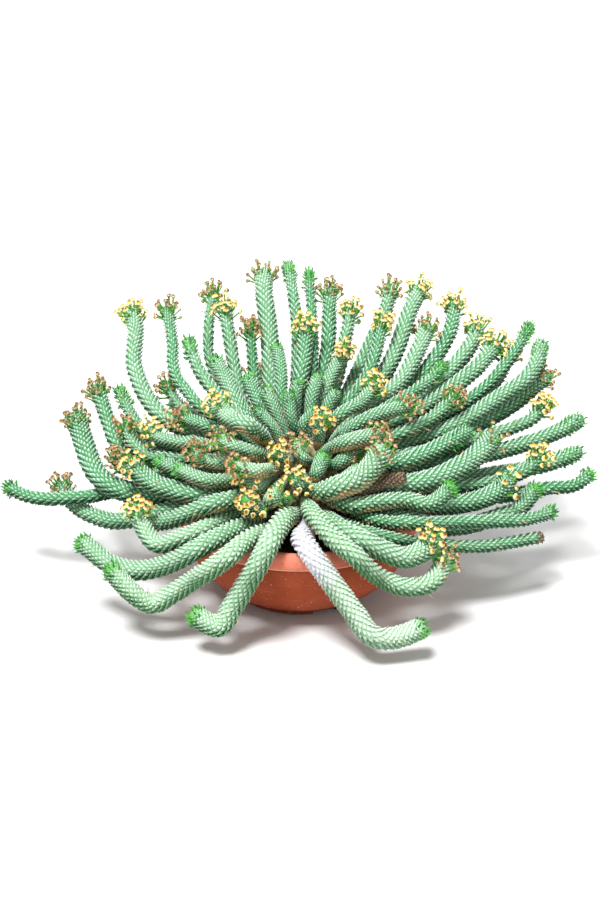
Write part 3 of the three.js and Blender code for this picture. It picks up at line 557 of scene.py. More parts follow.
def skinMaterial(name, powder=0.0, bright=0.0):
    look = skinLook
    material, tree, shader = newMaterial(name, look["roughness"], look["specular"])
    paintedShadeAndPoint = readValue(tree, "paintedShadeAndPoint")
    upside = readValue(tree, "upside")
    toTip = readValue(tree, "toTip")
    fromRoot = readValue(tree, "fromRoot")
    pale = readValue(tree, "pale")
    dried = readValue(tree, "dried")
    patchy = noiseNode(tree, look["patchScale"], 4.0)
    fine = noiseNode(tree, look["fineScale"], 2.0)

    # painted shade: dark under each scale's tip, most of all on the sides and below, and the sides and
    # undersides themselves painted darker
    roughened = mathOf(tree, "MULTIPLY", mathOf(tree, "SUBTRACT", fine, 0.5), 0.35)
    rise = mathOf(tree, "ADD", paintedShadeAndPoint, roughened)
    above = rangeOf(tree, mathOf(tree, "ADD", upside, roughened), 0.3, 0.86)
    valley = mixOf(tree, above, look["paintedDeepShadow"], mixOf(tree, pale, look["valley"], look["paleValleyPaintedShade"]))
    # painted shade on the sides and undersides
    shade = mixOf(tree, pale, look["shade"], look["palePaintedShade"])
    flank = mixOf(tree, above, shade, mixOf(tree, pale, look["flank"], look["paleFlank"]))
    # painted highlight: raised parts that face up are painted lighter, as if lit from above
    top = mixOf(tree, pale, look["top"], look["palePaintedHighlight"])
    green = mixOf(tree, rangeOf(tree, rise, 0.05, 0.55), valley, flank)
    facing = rangeOf(tree, upside, 0.2, 0.85, 0.12, 1.0)
    lit = mathOf(tree, "MULTIPLY", rangeOf(tree, rise, 0.4, 0.84), facing)
    green = mixOf(tree, lit, green, top)
    fromTip = mathOf(tree, "ADD", toTip, mathOf(tree, "MULTIPLY", patchy, 8.0))
    low, high = skinReach["young"]
    youngShare = rangeOf(tree, fromTip, low, high + skinReach["brightMore"] * bright, 0.75, 0.0)
    green = mixOf(tree, youngShare, green, look["young"])
    # cork creeps in below, near the crown
    belowness = mathOf(tree, "SUBTRACT", patchy, mathOf(tree, "MULTIPLY", upside, 0.6))
    nearRoot = rangeOf(tree, fromRoot, *skinReach["cork"], 1.0, 0.0)
    corkShare = mathOf(tree, "MULTIPLY", nearRoot, rangeOf(tree, belowness, 0.27, 0.38))
    # the cork is painted darker under each scale's tip and between scales: painted shade
    corkTone = mixOf(tree, rangeOf(tree, rise, 0.1, 0.7), look["cork"], look["corkPale"])
    skin = mixOf(tree, corkShare, green, corkTone)
    # the dry end is painted darker under each scale's tip and between scales: painted shade
    deadTone = mixOf(tree, rangeOf(tree, rise, 0.1, 0.8), look["dead"], look["deadPale"])
    skin = mixOf(tree, dried, skin, deadTone)
    if powder:
        edge = mathOf(tree, "ADD", fromRoot, mathOf(tree, "MULTIPLY", patchy, 60.0))
        # the powder is painted darker under each scale's tip and between scales: painted shade
        dusty = mixOf(tree, rangeOf(tree, rise, 0.1, 0.5), look["powderPaintedShade"], look["powder"])
        skin = mixOf(tree, rangeOf(tree, edge, *skinReach["powder"], powder, 0.1), skin, dusty)
    # the point of each scale is a white or a rusty dot
    dot = rangeOf(tree, paintedShadeAndPoint, 0.84, 0.92)
    rusty = rangeOf(tree, noiseNode(tree, look["rustScale"], 1.0), 0.55, 0.64)
    dotColour = mixOf(tree, rusty, look["point"], look["blush"])
    dotShare = rangeOf(tree, dried, 0.0, 1.0, 0.9, 0.2)
    skin = mixOf(tree, mathOf(tree, "MULTIPLY", dot, dotShare), skin, dotColour)
    tree.links.new(skin, shader.inputs["Base Color"])
    bumpFrom(tree, shader, mathOf(tree, "ADD", fine, patchy), 0.25, 0.0006)
    return material


# arms: one scale, a ring of them, a straight length, and then bent along each arm's path

# between, side and back are painted shade levels for a scale's corners, sides and back; a higher level is
# painted lighter
scaleShape = {
    "across": 8.4 * mm, "rowStep": 4.3 * mm, "rise": 3.5 * mm, "shoulder": 2.1 * mm,
    "forward": 3.1 * mm, "shoulderForward": 1.3 * mm, "inset": 1.5 * mm, "uneven": 0.28,
    "undercut": 0.3 * mm, "between": 0.32, "side": 0.62, "back": 0.6,
}
armShape = {
    "across": 8.4, "acrossYoung": 6.4, "tipCrowding": 0.55, "tipLength": 60.0, "tipRound": 0.42,
    "cutRound": 0.15, "tipClose": 0.93, "slowest": 0.4, "twist": 0.012, "pathStep": 3.0,
}
dullTip = {"leafy": 0.0, "fresh": 6.0, "faded": 9.0, "plain": 6.0, "cut": 40.0}
# how long the dry end of a cut arm is
driedEnds = {"front_right_stub": 70.0, "right_cut": 12.0}
baseRings = {}


def modelRing(count):
    # one scale on the skin, as high as the ring it will be part of
    shape = scaleShape
    half = math.pi / count
    skinRadius = count * shape["across"] / (2 * math.pi) - shape["rise"]
    sideways = skinRadius * math.sin(half)
    bpy.ops.mesh.primitive_circle_add(
        vertices=4, radius=shape["rowStep"], fill_type="NGON", location=(0, 0, skinRadius))
    ring = startPiece("ring%d" % count)
    bpy.ops.object.transform_apply(location=True, rotation=True, scale=True)
    editMode()
    bpy.ops.mesh.select_all(action="SELECT")
    bpy.ops.transform.resize(value=(1, sideways / shape["rowStep"], 1))
    pickPoints(ring, lambda p: abs(p.y) > 0.5 * sideways)
    bpy.ops.transform.translate(value=(0, 0, skinRadius * (math.cos(half) - 1)))
    bpy.ops.mesh.select_mode(type="FACE")
    bpy.ops.mesh.select_all(action="SELECT")
    bpy.ops.mesh.inset(thickness=shape["inset"], use_boundary=True)
    bpy.ops.transform.translate(value=(shape["shoulderForward"], 0, shape["shoulder"]))
    bpy.ops.mesh.poke()
    pickPoints(ring, lambda p: math.hypot(p.y, p.x - shape["shoulderForward"]) < 0.2 * mm)
    outward = (shape["forward"] - shape["shoulderForward"], 0, shape["rise"] - shape["shoulder"])
    bpy.ops.transform.translate(value=outward)
    objectMode()
    # how light each point is painted, as painted shade: darkest under the scale's tip, white at its point,
    # where the white dot also sits
    paintedShadeAndPoint = ring.data.attributes.new("paintedShadeAndPoint", "FLOAT", "POINT")
    for point in ring.data.vertices:
        above = math.hypot(point.co.y, point.co.z) - skinRadius
        if above < 0.5 * shape["shoulder"]:
            value = shape["between"]
        elif above > 0.5 * (shape["shoulder"] + shape["rise"]):
            value = 1.0
        elif abs(point.co.y) > 0.2 * mm:
            value = shape["side"]
        elif point.co.x < shape["shoulderForward"]:
            value = shape["back"]
        else:
            value = 0.0
            point.co.x += shape["undercut"]
            point.co.z -= 0.6 * shape["shoulder"]
        paintedShadeAndPoint.data[point.index].value = value
    editMode()
    # round the arm, and once more for the row between
    bpy.ops.mesh.select_all(action="SELECT")
    around = 2 * math.pi * (count - 1) / count
    bpy.ops.mesh.spin(steps=count - 1, dupli=True, angle=around, center=(0, 0, 0), axis=(1, 0, 0))
    bpy.ops.mesh.select_all(action="SELECT")
    bpy.ops.mesh.duplicate()
    bpy.ops.transform.rotate(value=half, orient_axis="X", center_override=(0, 0, 0))
    bpy.ops.transform.translate(value=(shape["rowStep"], 0, 0))
    bpy.ops.mesh.select_all(action="SELECT")
    bpy.ops.mesh.remove_doubles(threshold=0.05 * mm)
    bpy.ops.mesh.normals_make_consistent(inside=False)
    objectMode()
    return ring


def armRadius(s, length, width, tip):
    # as the arm swells, and round at the tip
    dome = width * (armShape["cutRound"] if tip == "cut" else armShape["tipRound"])
    over = np.clip((s - (length - dome)) / dome, 0, 1)
    return swell(s, width) * np.sqrt(np.clip(1 - (armShape["tipClose"] * over) ** 2, 0.02, 1))


def growArm(name, number):
    tip, width, stops = armPaths[name]
    path, length = evenLine(stops, armShape["pathStep"])
    across = armShape["acrossYoung" if name in youngArms else "across"]
    count = max(6, round(math.pi * width / across))
    if count not in baseRings:
        baseRings[count] = modelRing(count)
    naturalRadius = count * scaleShape["across"] / (2 * math.pi * mm)

    # a straight length of skin, whose rows lie closer where the arm is thin and at its growing tip
    marks = np.linspace(0, length, 200)
    into = np.clip((marks - (length - armShape["tipLength"])) / armShape["tipLength"], 0, 1)
    crowding = 0.0 if tip == "cut" else armShape["tipCrowding"]
    thick = np.maximum(armRadius(marks, length, width, tip), armShape["slowest"] * width / 2)
    pace = thick / naturalRadius * (1 - crowding * into)
    skinRun = np.concatenate([[0], np.cumsum((marks[1] - marks[0]) / pace[1:])])
    rows = max(2, round(skinRun[-1] / (2 * scaleShape["rowStep"] / mm)))
    arm = copyOf(baseRings[count], "arm_" + name)
    makeActive(arm)
    array = arm.modifiers.new("rows", "ARRAY")
    array.use_relative_offset = False
    array.use_constant_offset = True
    array.constant_offset_displace = (2 * scaleShape["rowStep"], 0, 0)
    array.count = rows
    array.use_merge_vertices = True
    array.merge_threshold = 0.05 * mm
    bpy.ops.object.modifier_apply(modifier="rows")

    mesh = arm.data
    spots = np.zeros(len(mesh.vertices) * 3)
    mesh.vertices.foreach_get("co", spots)
    spots = spots.reshape(-1, 3)
    share = (spots[:, 0] - spots[:, 0].min()) / (spots[:, 0].max() - spots[:, 0].min())
    s = np.interp(share * skinRun[-1], skinRun, marks)
    spots[:, 0] = s * mm
    spots += np.random.default_rng(number).normal(0, scaleShape["uneven"] * mm, spots.shape)
    mesh.vertices.foreach_set("co", spots.ravel())

    # bent along the arm's path, thinner at both ends
    guide = bpy.data.curves.new("guide", "CURVE")
    guide.dimensions = "3D"
    guide.twist_mode = "MINIMUM"
    guide.use_radius = True
    line = guide.splines.new("POLY")
    even = np.linspace(0, length, len(path))
    extra = length - np.array([9, 7, 5, 4, 3, 2, 1.2, 0.6])
    along = np.unique(np.concatenate([even, extra[extra > 0]]))
    points = np.stack([np.interp(along, even, path[:, k]) for k in range(3)], axis=1)
    radii = armRadius(along, length, width, tip) / naturalRadius
    line.points.add(len(along) - 1)
    for spot, place, radius, mark in zip(line.points, points, radii, along):
        spot.co = (*(place * mm), 1)
        spot.radius = radius
        spot.tilt = armShape["twist"] * mark + number
    guideObject = bpy.data.objects.new("guide", guide)
    bpy.context.scene.collection.objects.link(guideObject)
    bend = arm.modifiers.new("bend", "CURVE")
    bend.object = guideObject
    bend.deform_axis = "POS_X"
    makeActive(arm)
    bpy.ops.object.modifier_apply(modifier="bend")
    throwAway(guideObject)

    # which way each point of the skin looks, which places the painted shade and the cork, and how pale this
    # arm is
    mesh = arm.data
    mesh.vertices.foreach_get("co", turned := np.zeros(len(mesh.vertices) * 3))
    turned = turned.reshape(-1, 3)
    middle = np.stack([np.interp(s, even, path[:, k]) for k in range(3)], axis=1) * mm
    out = turned - middle
    upside = out[:, 2] / np.maximum(np.linalg.norm(out, axis=1), 1e-5) * 0.5 + 0.5
    pale = np.full(len(upside), paleOf(name, path))
    dried = np.zeros(len(upside))
    if name in driedEnds:
        dried = np.clip(2 - 2 * (length - s) / driedEnds[name], 0, 1)
    skinValues = {
        "toTip": length - s + dullTip[tip], "fromRoot": s, "upside": upside, "pale": pale, "dried": dried,
    }
    for label, values in skinValues.items():
        mesh.attributes.new(label, "FLOAT", "POINT").data.foreach_set("value", values.astype(np.float32))

    # both ends closed
    editMode()
    bpy.ops.mesh.select_mode(type="EDGE")
    bpy.ops.mesh.select_all(action="DESELECT")
    bpy.ops.mesh.select_non_manifold()
    bpy.ops.mesh.fill_holes(sides=0)
    objectMode()
    return arm


def paleOf(name, path):
    # arms that hang out in front are the palest
    chance = random.Random(name).random()
    end = path[-1]
    front = np.clip(-end[1] / 180.0, 0, 1)
    return float(np.clip(0.12 + 0.75 * front + 0.35 * (chance - 0.5), 0, 1))


# shoots: leaves, flower heads and dry stalks, each modelled once

leafShape = {
    "radius": 0.9 * mm, "length": 6 * mm, "belly": 2.4 * mm, "footWidth": 0.5, "curl": 1.1 * mm,
    "curlFrom": 5 * mm, "flatness": (1.7, 0.6, 1.0),
}


def modelLeaf():
    shape = leafShape
    bpy.ops.mesh.primitive_cone_add(
        vertices=4, radius1=shape["radius"], radius2=0, depth=shape["length"],
        location=(0, 0, shape["length"] / 2), end_fill_type="NGON")
    leaf = startPiece("leaf")
    bakePlace(leaf)
    editMode()
    pickPoints(leaf, lambda p: p.z < 0.5 * mm)
    bpy.ops.transform.translate(value=(0, 0, shape["belly"]))
    bpy.ops.mesh.select_mode(type="FACE")
    pickFaces(leaf, lambda c, n: n.z < -0.9)
    extrudeOn(-shape["belly"], shape["footWidth"])
    bpy.ops.mesh.select_all(action="SELECT")
    bpy.ops.transform.resize(value=shape["flatness"], center_override=(0, 0, 0))
    pickPoints(leaf, lambda p: p.z > shape["curlFrom"])
    bpy.ops.transform.translate(value=(0, shape["curl"], 0))
    objectMode()
    return leaf


flowerShape = {
    "lobes": 5, "spread": 4.4 * mm, "notch": 0.62, "stalk": 11.5 * mm, "stalkRadius": 1.0 * mm,
    "calyx": 1.6 * mm, "flare": 2.2 * mm, "rim": 0.9 * mm, "cup": 1.8 * mm, "dome": 1.1 * mm, "sink": 0.6,
    "eyeRim": 0.7 * mm, "posySize": 1.15, "posyShare": 0.34,
}


def modelFlower(name, materials, spread, closed):
    # stalk, flared underside, a ring of lobes and a raised middle
    shape = flowerShape
    count = 2 * shape["lobes"]
    bpy.ops.mesh.primitive_cylinder_add(
        vertices=count, radius=shape["stalkRadius"], depth=shape["stalk"],
        location=(0, 0, shape["stalk"] / 2))
    flower = startPiece(name)
    bakePlace(flower)
    for material in materials:
        flower.data.materials.append(material)
    top = shape["stalk"]
    editMode()
    bpy.ops.mesh.select_mode(type="FACE")
    pickFaces(flower, lambda c, n: n.z > 0.9)
    extrudeOn(0.5 * shape["flare"], shape["calyx"] / shape["stalkRadius"])
    extrudeOn(0.5 * shape["flare"], spread / shape["calyx"])
    pickFaces(flower, lambda c, n: c.z > top + 0.6 * shape["flare"])
    setMaterial(flower, 1)
    rimHeight = top + 0.8 * shape["flare"]
    share = count / (2 * math.pi)
    pickPoints(flower, lambda p: p.z > rimHeight and round(math.atan2(p.y, p.x) * share) % 2 == 0)
    bpy.ops.transform.resize(value=(shape["notch"], shape["notch"], 1), center_override=(0, 0, top))
    bpy.ops.mesh.select_mode(type="FACE")
    pickFaces(flower, lambda c, n: n.z > 0.9 and c.z > rimHeight)
    bpy.ops.mesh.inset(thickness=shape["rim"] * closed)
    bpy.ops.transform.translate(value=(0, 0, shape["cup"]))
    setMaterial(flower, 2)
    bpy.ops.mesh.inset(thickness=shape["eyeRim"])
    bpy.ops.transform.translate(value=(0, 0, shape["dome"]))
    setMaterial(flower, 3)
    objectMode()
    return flower


def setMaterial(piece, slot):
    piece.active_material_index = slot
    bpy.ops.object.material_slot_assign()


def framesOf(path):
    # along, sideways and up at each point of a path
    along = np.gradient(path, axis=0)
    along /= np.linalg.norm(along, axis=1)[:, None]
    side = np.cross(along, (0.0, 0.0, 1.0))
    side[np.linalg.norm(side, axis=1) < 0.05] = (1.0, 0.0, 0.0)
    side /= np.linalg.norm(side, axis=1)[:, None]
    return along, side, np.cross(side, along)


shootCounts = {
    "fresh": {"flowers": 25, "leaves": 24, "stalks": 4},
    "faded": {"flowers": 24, "leaves": 18, "stalks": 7},
    "leafy": {"flowers": 0, "leaves": 30, "stalks": 3},
    "plain": {"flowers": 0, "leaves": 46, "stalks": 3},
    "cut": {"flowers": 0, "leaves": 0, "stalks": 4},
}
shootReach = {"flowers": (1.0, 21.0), "leaves": (0.5, 13.0), "stalks": (12.0, 70.0)}
leafReach = {"fresh": 26.0, "faded": 22.0, "plain": 34.0}
shootStance = {
    "turn": 2.4, "turnLoose": 0.3, "steepest": 80, "flatter": 55, "leanLoose": 12, "stalkLean": (10, 60),
    "towardsLight": (0, -0.55, 0.6), "rootedAt": 0.8,
}


def plantOn(name, kind, pattern, size, chance):
    # copies of a pattern spread round the end of an arm, leaning towards its tip
    stance = shootStance
    tip, width, stops = armPaths[name]
    path, length = evenLine(stops, armShape["pathStep"])
    along, side, up = framesOf(path)
    near, far = shootReach[kind]
    number = shootCounts[tip][kind]
    if kind == "leaves" and name in longArms:
        far = leafReach.get(tip, far)
    elif kind == "leaves":
        number = number // 2
    if kind == "flowers" and "posy" in name:
        number = int(number * flowerShape["posyShare"])
    copies = []
    start = chance.uniform(0, 6.28)
    for k in range(number):
        back = near + (far - near) * (k + chance.uniform(0, 0.8)) / number
        s = max(length - back, 5.0)
        turn = start + stance["turn"] * k + chance.uniform(-stance["turnLoose"], stance["turnLoose"])
        at = s / length * (len(path) - 1)
        i = min(int(at), len(path) - 2)
        middle = path[i] + (path[i + 1] - path[i]) * (at - i)
        radial = side[i] * math.cos(turn) + up[i] * math.sin(turn)
        radius = float(armRadius(np.array(s), length, width, tip))
        lean = stance["steepest"] - stance["flatter"] * (back - near) / (far - near)
        lean = math.radians(lean + chance.uniform(-stance["leanLoose"], stance["leanLoose"]))
        if kind == "stalks":
            lean = math.radians(chance.uniform(*stance["stalkLean"]))
        heading = radial * math.cos(lean) + along[i] * math.sin(lean)
        if kind == "flowers":
            heading = heading + np.array(stance["towardsLight"])
        foot = middle + radial * (stance["rootedAt"] * radius)
        if kind == "flowers":
            foot = foot - heading * (chance.uniform(0, flowerShape["sink"]) * flowerShape["stalk"] / mm)
        turnTo = Vector(heading).to_track_quat("Z", "Y").to_matrix().to_4x4()
        grow = size * chance.uniform(0.8, 1.2)
        spin = Matrix.Rotation(chance.uniform(0, 6.28), 4, "Z")
        twin = copyOf(pattern, kind)
        bigger = Matrix.Diagonal((grow, grow, grow, 1))
        twin.data.transform(Matrix.Translation(Vector(foot) * mm) @ turnTo @ spin @ bigger)
        copies.append(twin)
    return copies


# turned shapes: bowl, soil and stem

def turnedShape(name, profile, sides):
    # drawn up from its first ring to its last, [radius, height] in millimetres
    radius, low = profile[0]
    bpy.ops.mesh.primitive_cylinder_add(
        vertices=sides, radius=radius * mm, depth=1 * mm, location=(0, 0, (low - 0.5) * mm))
    piece = startPiece(name)
    bakePlace(piece)
    editMode()
    bpy.ops.mesh.select_mode(type="FACE")
    pickFaces(piece, lambda c, n: n.z > 0.9)
    for nextRadius, nextHeight in profile[1:]:
        extrudeOn((nextHeight - low) * mm, nextRadius / radius)
        radius, low = nextRadius, nextHeight
    # the first thin slice only served as a start
    pickPoints(piece, lambda p: p.z < (profile[0][1] - 0.5) * mm)
    bpy.ops.mesh.merge(type="CENTER")
    pickPoints(piece, lambda p: p.z < (profile[0][1] - 0.5) * mm)
    bpy.ops.transform.translate(value=(0, 0, 1 * mm))
    objectMode()
    return piece


bowlShape = {
    "sides": 128,
    "profile": [
        (82, 0), (84, 1.2), (85, 6), (97, 13.5), (112, 24), (124, 38), (133, 52), (141, 74), (145.6, 94),
        (146, 96.6), (149.5, 97), (151.6, 98.6), (152.8, 103), (152.9, 108), (152.2, 113), (150.6, 116.4),
        (148, 118), (144, 118), (141.4, 116.6), (140.2, 113), (138.5, 106), (137, 101), (130, 74), (122, 48),
        (104, 30), (78, 14), (60, 13),
    ],
    "footRadius": 82, "notches": (-69, 51, 171), "notchWidth": 30, "notchHeight": 5, "notchDepth": 26,
    "drain": 7, "cornerAngle": 38,
}


def modelBowl(material):
    shape = bowlShape
    bowl = turnedShape("terracottaBowl", shape["profile"], shape["sides"])
    bowl.data.materials.append(material)
    for bearing in shape["notches"]:
        angle = math.radians(bearing)
        foot = shape["footRadius"] * mm
        bpy.ops.mesh.primitive_cube_add(
            size=1, location=(foot * math.cos(angle), foot * math.sin(angle), 0), rotation=(0, 0, angle),
            scale=(2 * shape["notchDepth"] * mm, shape["notchWidth"] * mm, 2 * shape["notchHeight"] * mm))
        notch = startPiece("notch")
        far = (shape["footRadius"] - shape["notchDepth"] + shape["drain"]) * mm
        bpy.ops.mesh.primitive_cylinder_add(
            vertices=32, radius=shape["drain"] * mm, depth=60 * mm,
            location=(far * math.cos(angle), far * math.sin(angle), 0))
        drain = startPiece("drain")
        for tool in (notch, drain):
            cut = bowl.modifiers.new("cut", "BOOLEAN")
            cut.operation = "DIFFERENCE"
            cut.object = tool
            makeActive(bowl)
            bpy.ops.object.modifier_apply(modifier="cut")
            throwAway(tool)
    makeActive(bowl)
    bpy.ops.object.shade_smooth_by_angle(angle=math.radians(shape["cornerAngle"]))
    return bowl


soilShape = {
    "sides": 96, "top": 101.5, "wave": 0.8, "rough": 2.6, "crumbs": 900, "crumbRadius": 1.9,
    "crumbReach": (52, 135), "crumbHeight": (101.8, 104), "crumbSize": (0.5, 1.5),
}


def modelSoil(material, chance):
    shape = soilShape
    rings = [(112, 60), (136.4, 101)]
    for radius in range(132, 46, -5):
        rings.append((radius, shape["top"] + shape["wave"] * math.sin(radius)))
    rings.append((30, 102))
    soil = turnedShape("pottingSoil", rings, shape["sides"])
    soil.data.materials.append(material)
    editMode()
    pickPoints(soil, lambda p: p.z > 101.1 * mm)
    bpy.ops.transform.vertex_random(offset=shape["rough"] * mm, uniform=0.6, seed=4)
    objectMode()
    bpy.ops.object.shade_smooth()
    bpy.ops.mesh.primitive_ico_sphere_add(subdivisions=1, radius=shape["crumbRadius"] * mm)
    crumb = startPiece("crumb")
    crumb.data.materials.append(material)
    parts = [soil]
    near, far = shape["crumbReach"]
    for _ in range(shape["crumbs"]):
        twin = copyOf(crumb, "crumb")
        reach = math.sqrt(chance.uniform(near ** 2, far ** 2)) * mm
        angle = chance.uniform(0, 2 * math.pi)
        size = chance.uniform(*shape["crumbSize"])
        height = chance.uniform(*shape["crumbHeight"]) * mm
        place = Matrix.Translation((reach * math.cos(angle), reach * math.sin(angle), height))
        tumble = Matrix.Rotation(chance.uniform(0, 6), 4, "X")
        twin.data.transform(place @ tumble @ Matrix.Diagonal((size, size * 0.8, size * 0.7, 1)))
        parts.append(twin)
    throwAway(crumb)
    return joined(parts, "pottingSoil")


stemShape = {
    "radius": 50, "foot": 62, "shoulder": 142, "sides": 48, "rough": 2.5,
    "knotPlace": (-14, -6, 190), "knotSize": (9, 8, 13), "knotRough": 3.2, "shreds": 14, "shredLength": 11,
}


def modelStem(material, chance):
    shape = stemShape
    rings = [(shape["radius"], z) for z in (shape["foot"], 102, 122, shape["shoulder"])]
    for rise in range(10, 90, 10):
        angle = math.radians(rise)
        height = shape["shoulder"] + shape["radius"] * math.sin(angle)
        rings.append((shape["radius"] * math.cos(angle), height))
    rings.append((4, shape["shoulder"] + shape["radius"] + 2))
    stem = turnedShape("woodyStem", rings, shape["sides"])
    editMode()
    pickPoints(stem, lambda p: p.z > 105 * mm)
    bpy.ops.mesh.subdivide(number_cuts=1)
    sortRound(stem, 2 * shape["sides"])
    bpy.ops.transform.vertex_random(offset=shape["rough"] * mm, uniform=0.3, normal=0.7, seed=2)
    objectMode()
    # the dry knot of the old growing point, with shreds of bark standing round it
    place = Vector(shape["knotPlace"]) * mm
    bpy.ops.mesh.primitive_ico_sphere_add(
        subdivisions=3, radius=1 * mm, location=place, scale=shape["knotSize"])
    knot = startPiece("knot")
    bakePlace(knot)
    editMode()
    bpy.ops.mesh.select_all(action="SELECT")
    bpy.ops.transform.vertex_random(offset=shape["knotRough"] * mm, uniform=0.4, normal=0.6, seed=7)
    objectMode()
    bpy.ops.mesh.primitive_cone_add(
        vertices=5, radius1=2 * mm, radius2=0.4 * mm, depth=shape["shredLength"] * mm)
    shred = startPiece("shred")
    parts = [stem, knot]
    for _ in range(shape["shreds"]):
        turn = chance.uniform(0, 2 * math.pi)
        lean = Matrix.Rotation(math.radians(chance.uniform(10, 60)), 4, "X")
        around = Matrix.Rotation(turn, 4, "Z")
        twin = copyOf(shred, "shred")
        size = Matrix.Diagonal((1, 0.4, chance.uniform(0.6, 1.2), 1))
        foot = Matrix.Translation(place + Vector((0, 0, 4 * mm)))
        twin.data.transform(foot @ around @ lean @ Matrix.Translation((0, 0, 8 * mm)) @ size)
        parts.append(twin)
    throwAway(shred)
    whole = joined(parts, "woodyStem")
    whole.data.materials.clear()
    whole.data.materials.append(material)
    bpy.ops.object.shade_smooth_by_angle(angle=math.radians(35))
    return whole


def plainGrain(name, low, high, scale, roughness, bump):
    material, tree, shader = newMaterial(name, roughness, 0.3)
    grain = noiseNode(tree, scale, 5.0)
    tree.links.new(mixOf(tree, rangeOf(tree, grain, 0.35, 0.65), low, high), shader.inputs["Base Color"])
    bumpFrom(tree, shader, grain, bump, 0.001)
    return material


# foot is a darker clay, used towards the bottom and as painted shade under the lip's overhang
clayLook = {
    "body": (150, 66, 36), "bodyPale": (178, 84, 52), "foot": (104, 40, 24), "lip": (222, 118, 92),
    "lipPale": (236, 142, 116), "speck": (226, 172, 146), "pit": (78, 36, 26), "line": (244, 176, 150),
    "smudge": (128, 62, 44), "scratch": (206, 122, 88), "scratchStretch": (22, 22, 420),
    "underLip": 0.097,
}


def terracottaMaterial():
    look = clayLook
    material, tree, shader = newMaterial("terracotta", 0.85, 0.2)
    broad = noiseNode(tree, 14.0, 4.0)
    fine = noiseNode(tree, 700.0, 2.0)
    specks = noiseNode(tree, 260.0, 1.0)
    place = tree.nodes.new("ShaderNodeTexCoord")
    split = tree.nodes.new("ShaderNodeSeparateXYZ")
    tree.links.new(place.outputs["Object"], split.inputs["Vector"])
    height = split.outputs["Z"]
    lipAt = look["underLip"]
    body = mixOf(tree, rangeOf(tree, broad, 0.3, 0.7), look["body"], look["bodyPale"])
    # darker towards the bottom
    body = mixOf(tree, rangeOf(tree, height, 0.004, 0.045, 0.55, 0.0), body, look["foot"])
    # painted shade just under the lip's overhang
    body = mixOf(tree, rangeOf(tree, height, lipAt - 0.006, lipAt - 0.001, 0.0, 0.55), body, look["foot"])
    lip = mixOf(tree, rangeOf(tree, broad, 0.35, 0.65), look["lip"], look["lipPale"])
    lip = mixOf(tree, rangeOf(tree, height, lipAt + 0.0016, lipAt + 0.0034, 0.7, 0.0), lip, look["line"])
    clay = mixOf(tree, rangeOf(tree, height, lipAt - 0.0005, lipAt + 0.0005), body, lip)
    # long thin scratches run round the bowl, and soil has smudged the clay here and there
    streaks = noiseNode(tree, 1.6, 3.0, 0.5, look["scratchStretch"])
    clay = mixOf(tree, rangeOf(tree, streaks, 0.63, 0.7, 0.0, 0.35), clay, look["scratch"])
    stained = mathOf(tree, "MULTIPLY", rangeOf(tree, noiseNode(tree, 22.0, 5.0), 0.58, 0.7), 0.4)
    clay = mixOf(tree, stained, clay, look["smudge"])
    clay = mixOf(tree, rangeOf(tree, specks, 0.7, 0.74, 0.0, 0.5), clay, look["speck"])
    clay = mixOf(tree, rangeOf(tree, specks, 0.3, 0.26, 0.0, 0.5), clay, look["pit"])
    tree.links.new(clay, shader.inputs["Base Color"])
    bumpFrom(tree, shader, fine, 0.2, 0.0004)
    return material


# camera and light

cameraLook = {"place": (0, -1.8126, 1.0272), "tilt": 65, "lens": 66, "sensor": 36, "sight": 1000}


def addCamera():
    data = bpy.data.cameras.new("camera")
    data.sensor_fit = "VERTICAL"
    data.sensor_height = cameraLook["sensor"]
    data.lens = cameraLook["lens"]
    data.clip_end = cameraLook["sight"]
    camera = bpy.data.objects.new("camera", data)
    camera.location = cameraLook["place"]
    camera.rotation_euler = (math.radians(cameraLook["tilt"]), 0, 0)
    bpy.context.scene.collection.objects.link(camera)
    bpy.context.scene.camera = camera


lights = {
    "sky": 0.5, "aim": (0, 0, 0.18),
    "key": {"kind": "SUN", "place": (-0.5, -0.9, 2.4), "size": 0.26, "power": 3.6},
    "fill": {"kind": "AREA", "place": (1.6, -1.6, 1.2), "size": 1.6, "power": 6},
    "rear": {"kind": "AREA", "place": (0.3, 1.8, 1.8), "size": 1.2, "power": 12},
}


def addFloorAndLight():
    bpy.context.scene.view_settings.view_transform = "Standard"
    bpy.ops.mesh.primitive_plane_add(size=1200, location=(0, 0, -0.0005))
    floor = startPiece("floor")
    material, tree, shader = newMaterial("floorPaper", 0.9, 0.1)
    grain = noiseNode(tree, 6.0, 2.0)
    tree.links.new(mixOf(tree, grain, (236, 236, 236), (233, 233, 233)), shader.inputs["Base Color"])
    floor.data.materials.append(material)
    world = bpy.data.worlds.new("studio")
    world.use_nodes = True
    world.node_tree.nodes["Background"].inputs["Color"].default_value = (1, 1, 1, 1)
    world.node_tree.nodes["Background"].inputs["Strength"].default_value = lights["sky"]
    bpy.context.scene.world = world
    for name in ("key", "fill", "rear"):
        look = lights[name]
        data = bpy.data.lights.new(name, look["kind"])
        if look["kind"] == "SUN":
            data.angle = look["size"]
        else:
            data.size = look["size"]
        data.energy = look["power"]
        lamp = bpy.data.objects.new(name, data)
        lamp.location = look["place"]
        towards = Vector(lights["aim"]) - Vector(look["place"])
        lamp.rotation_euler = towards.to_track_quat("-Z", "Y").to_euler()
        bpy.context.scene.collection.objects.link(lamp)


# making it all

chance = random.Random(11)
addCamera()
addFloorAndLight()
print("camera, floor and light")

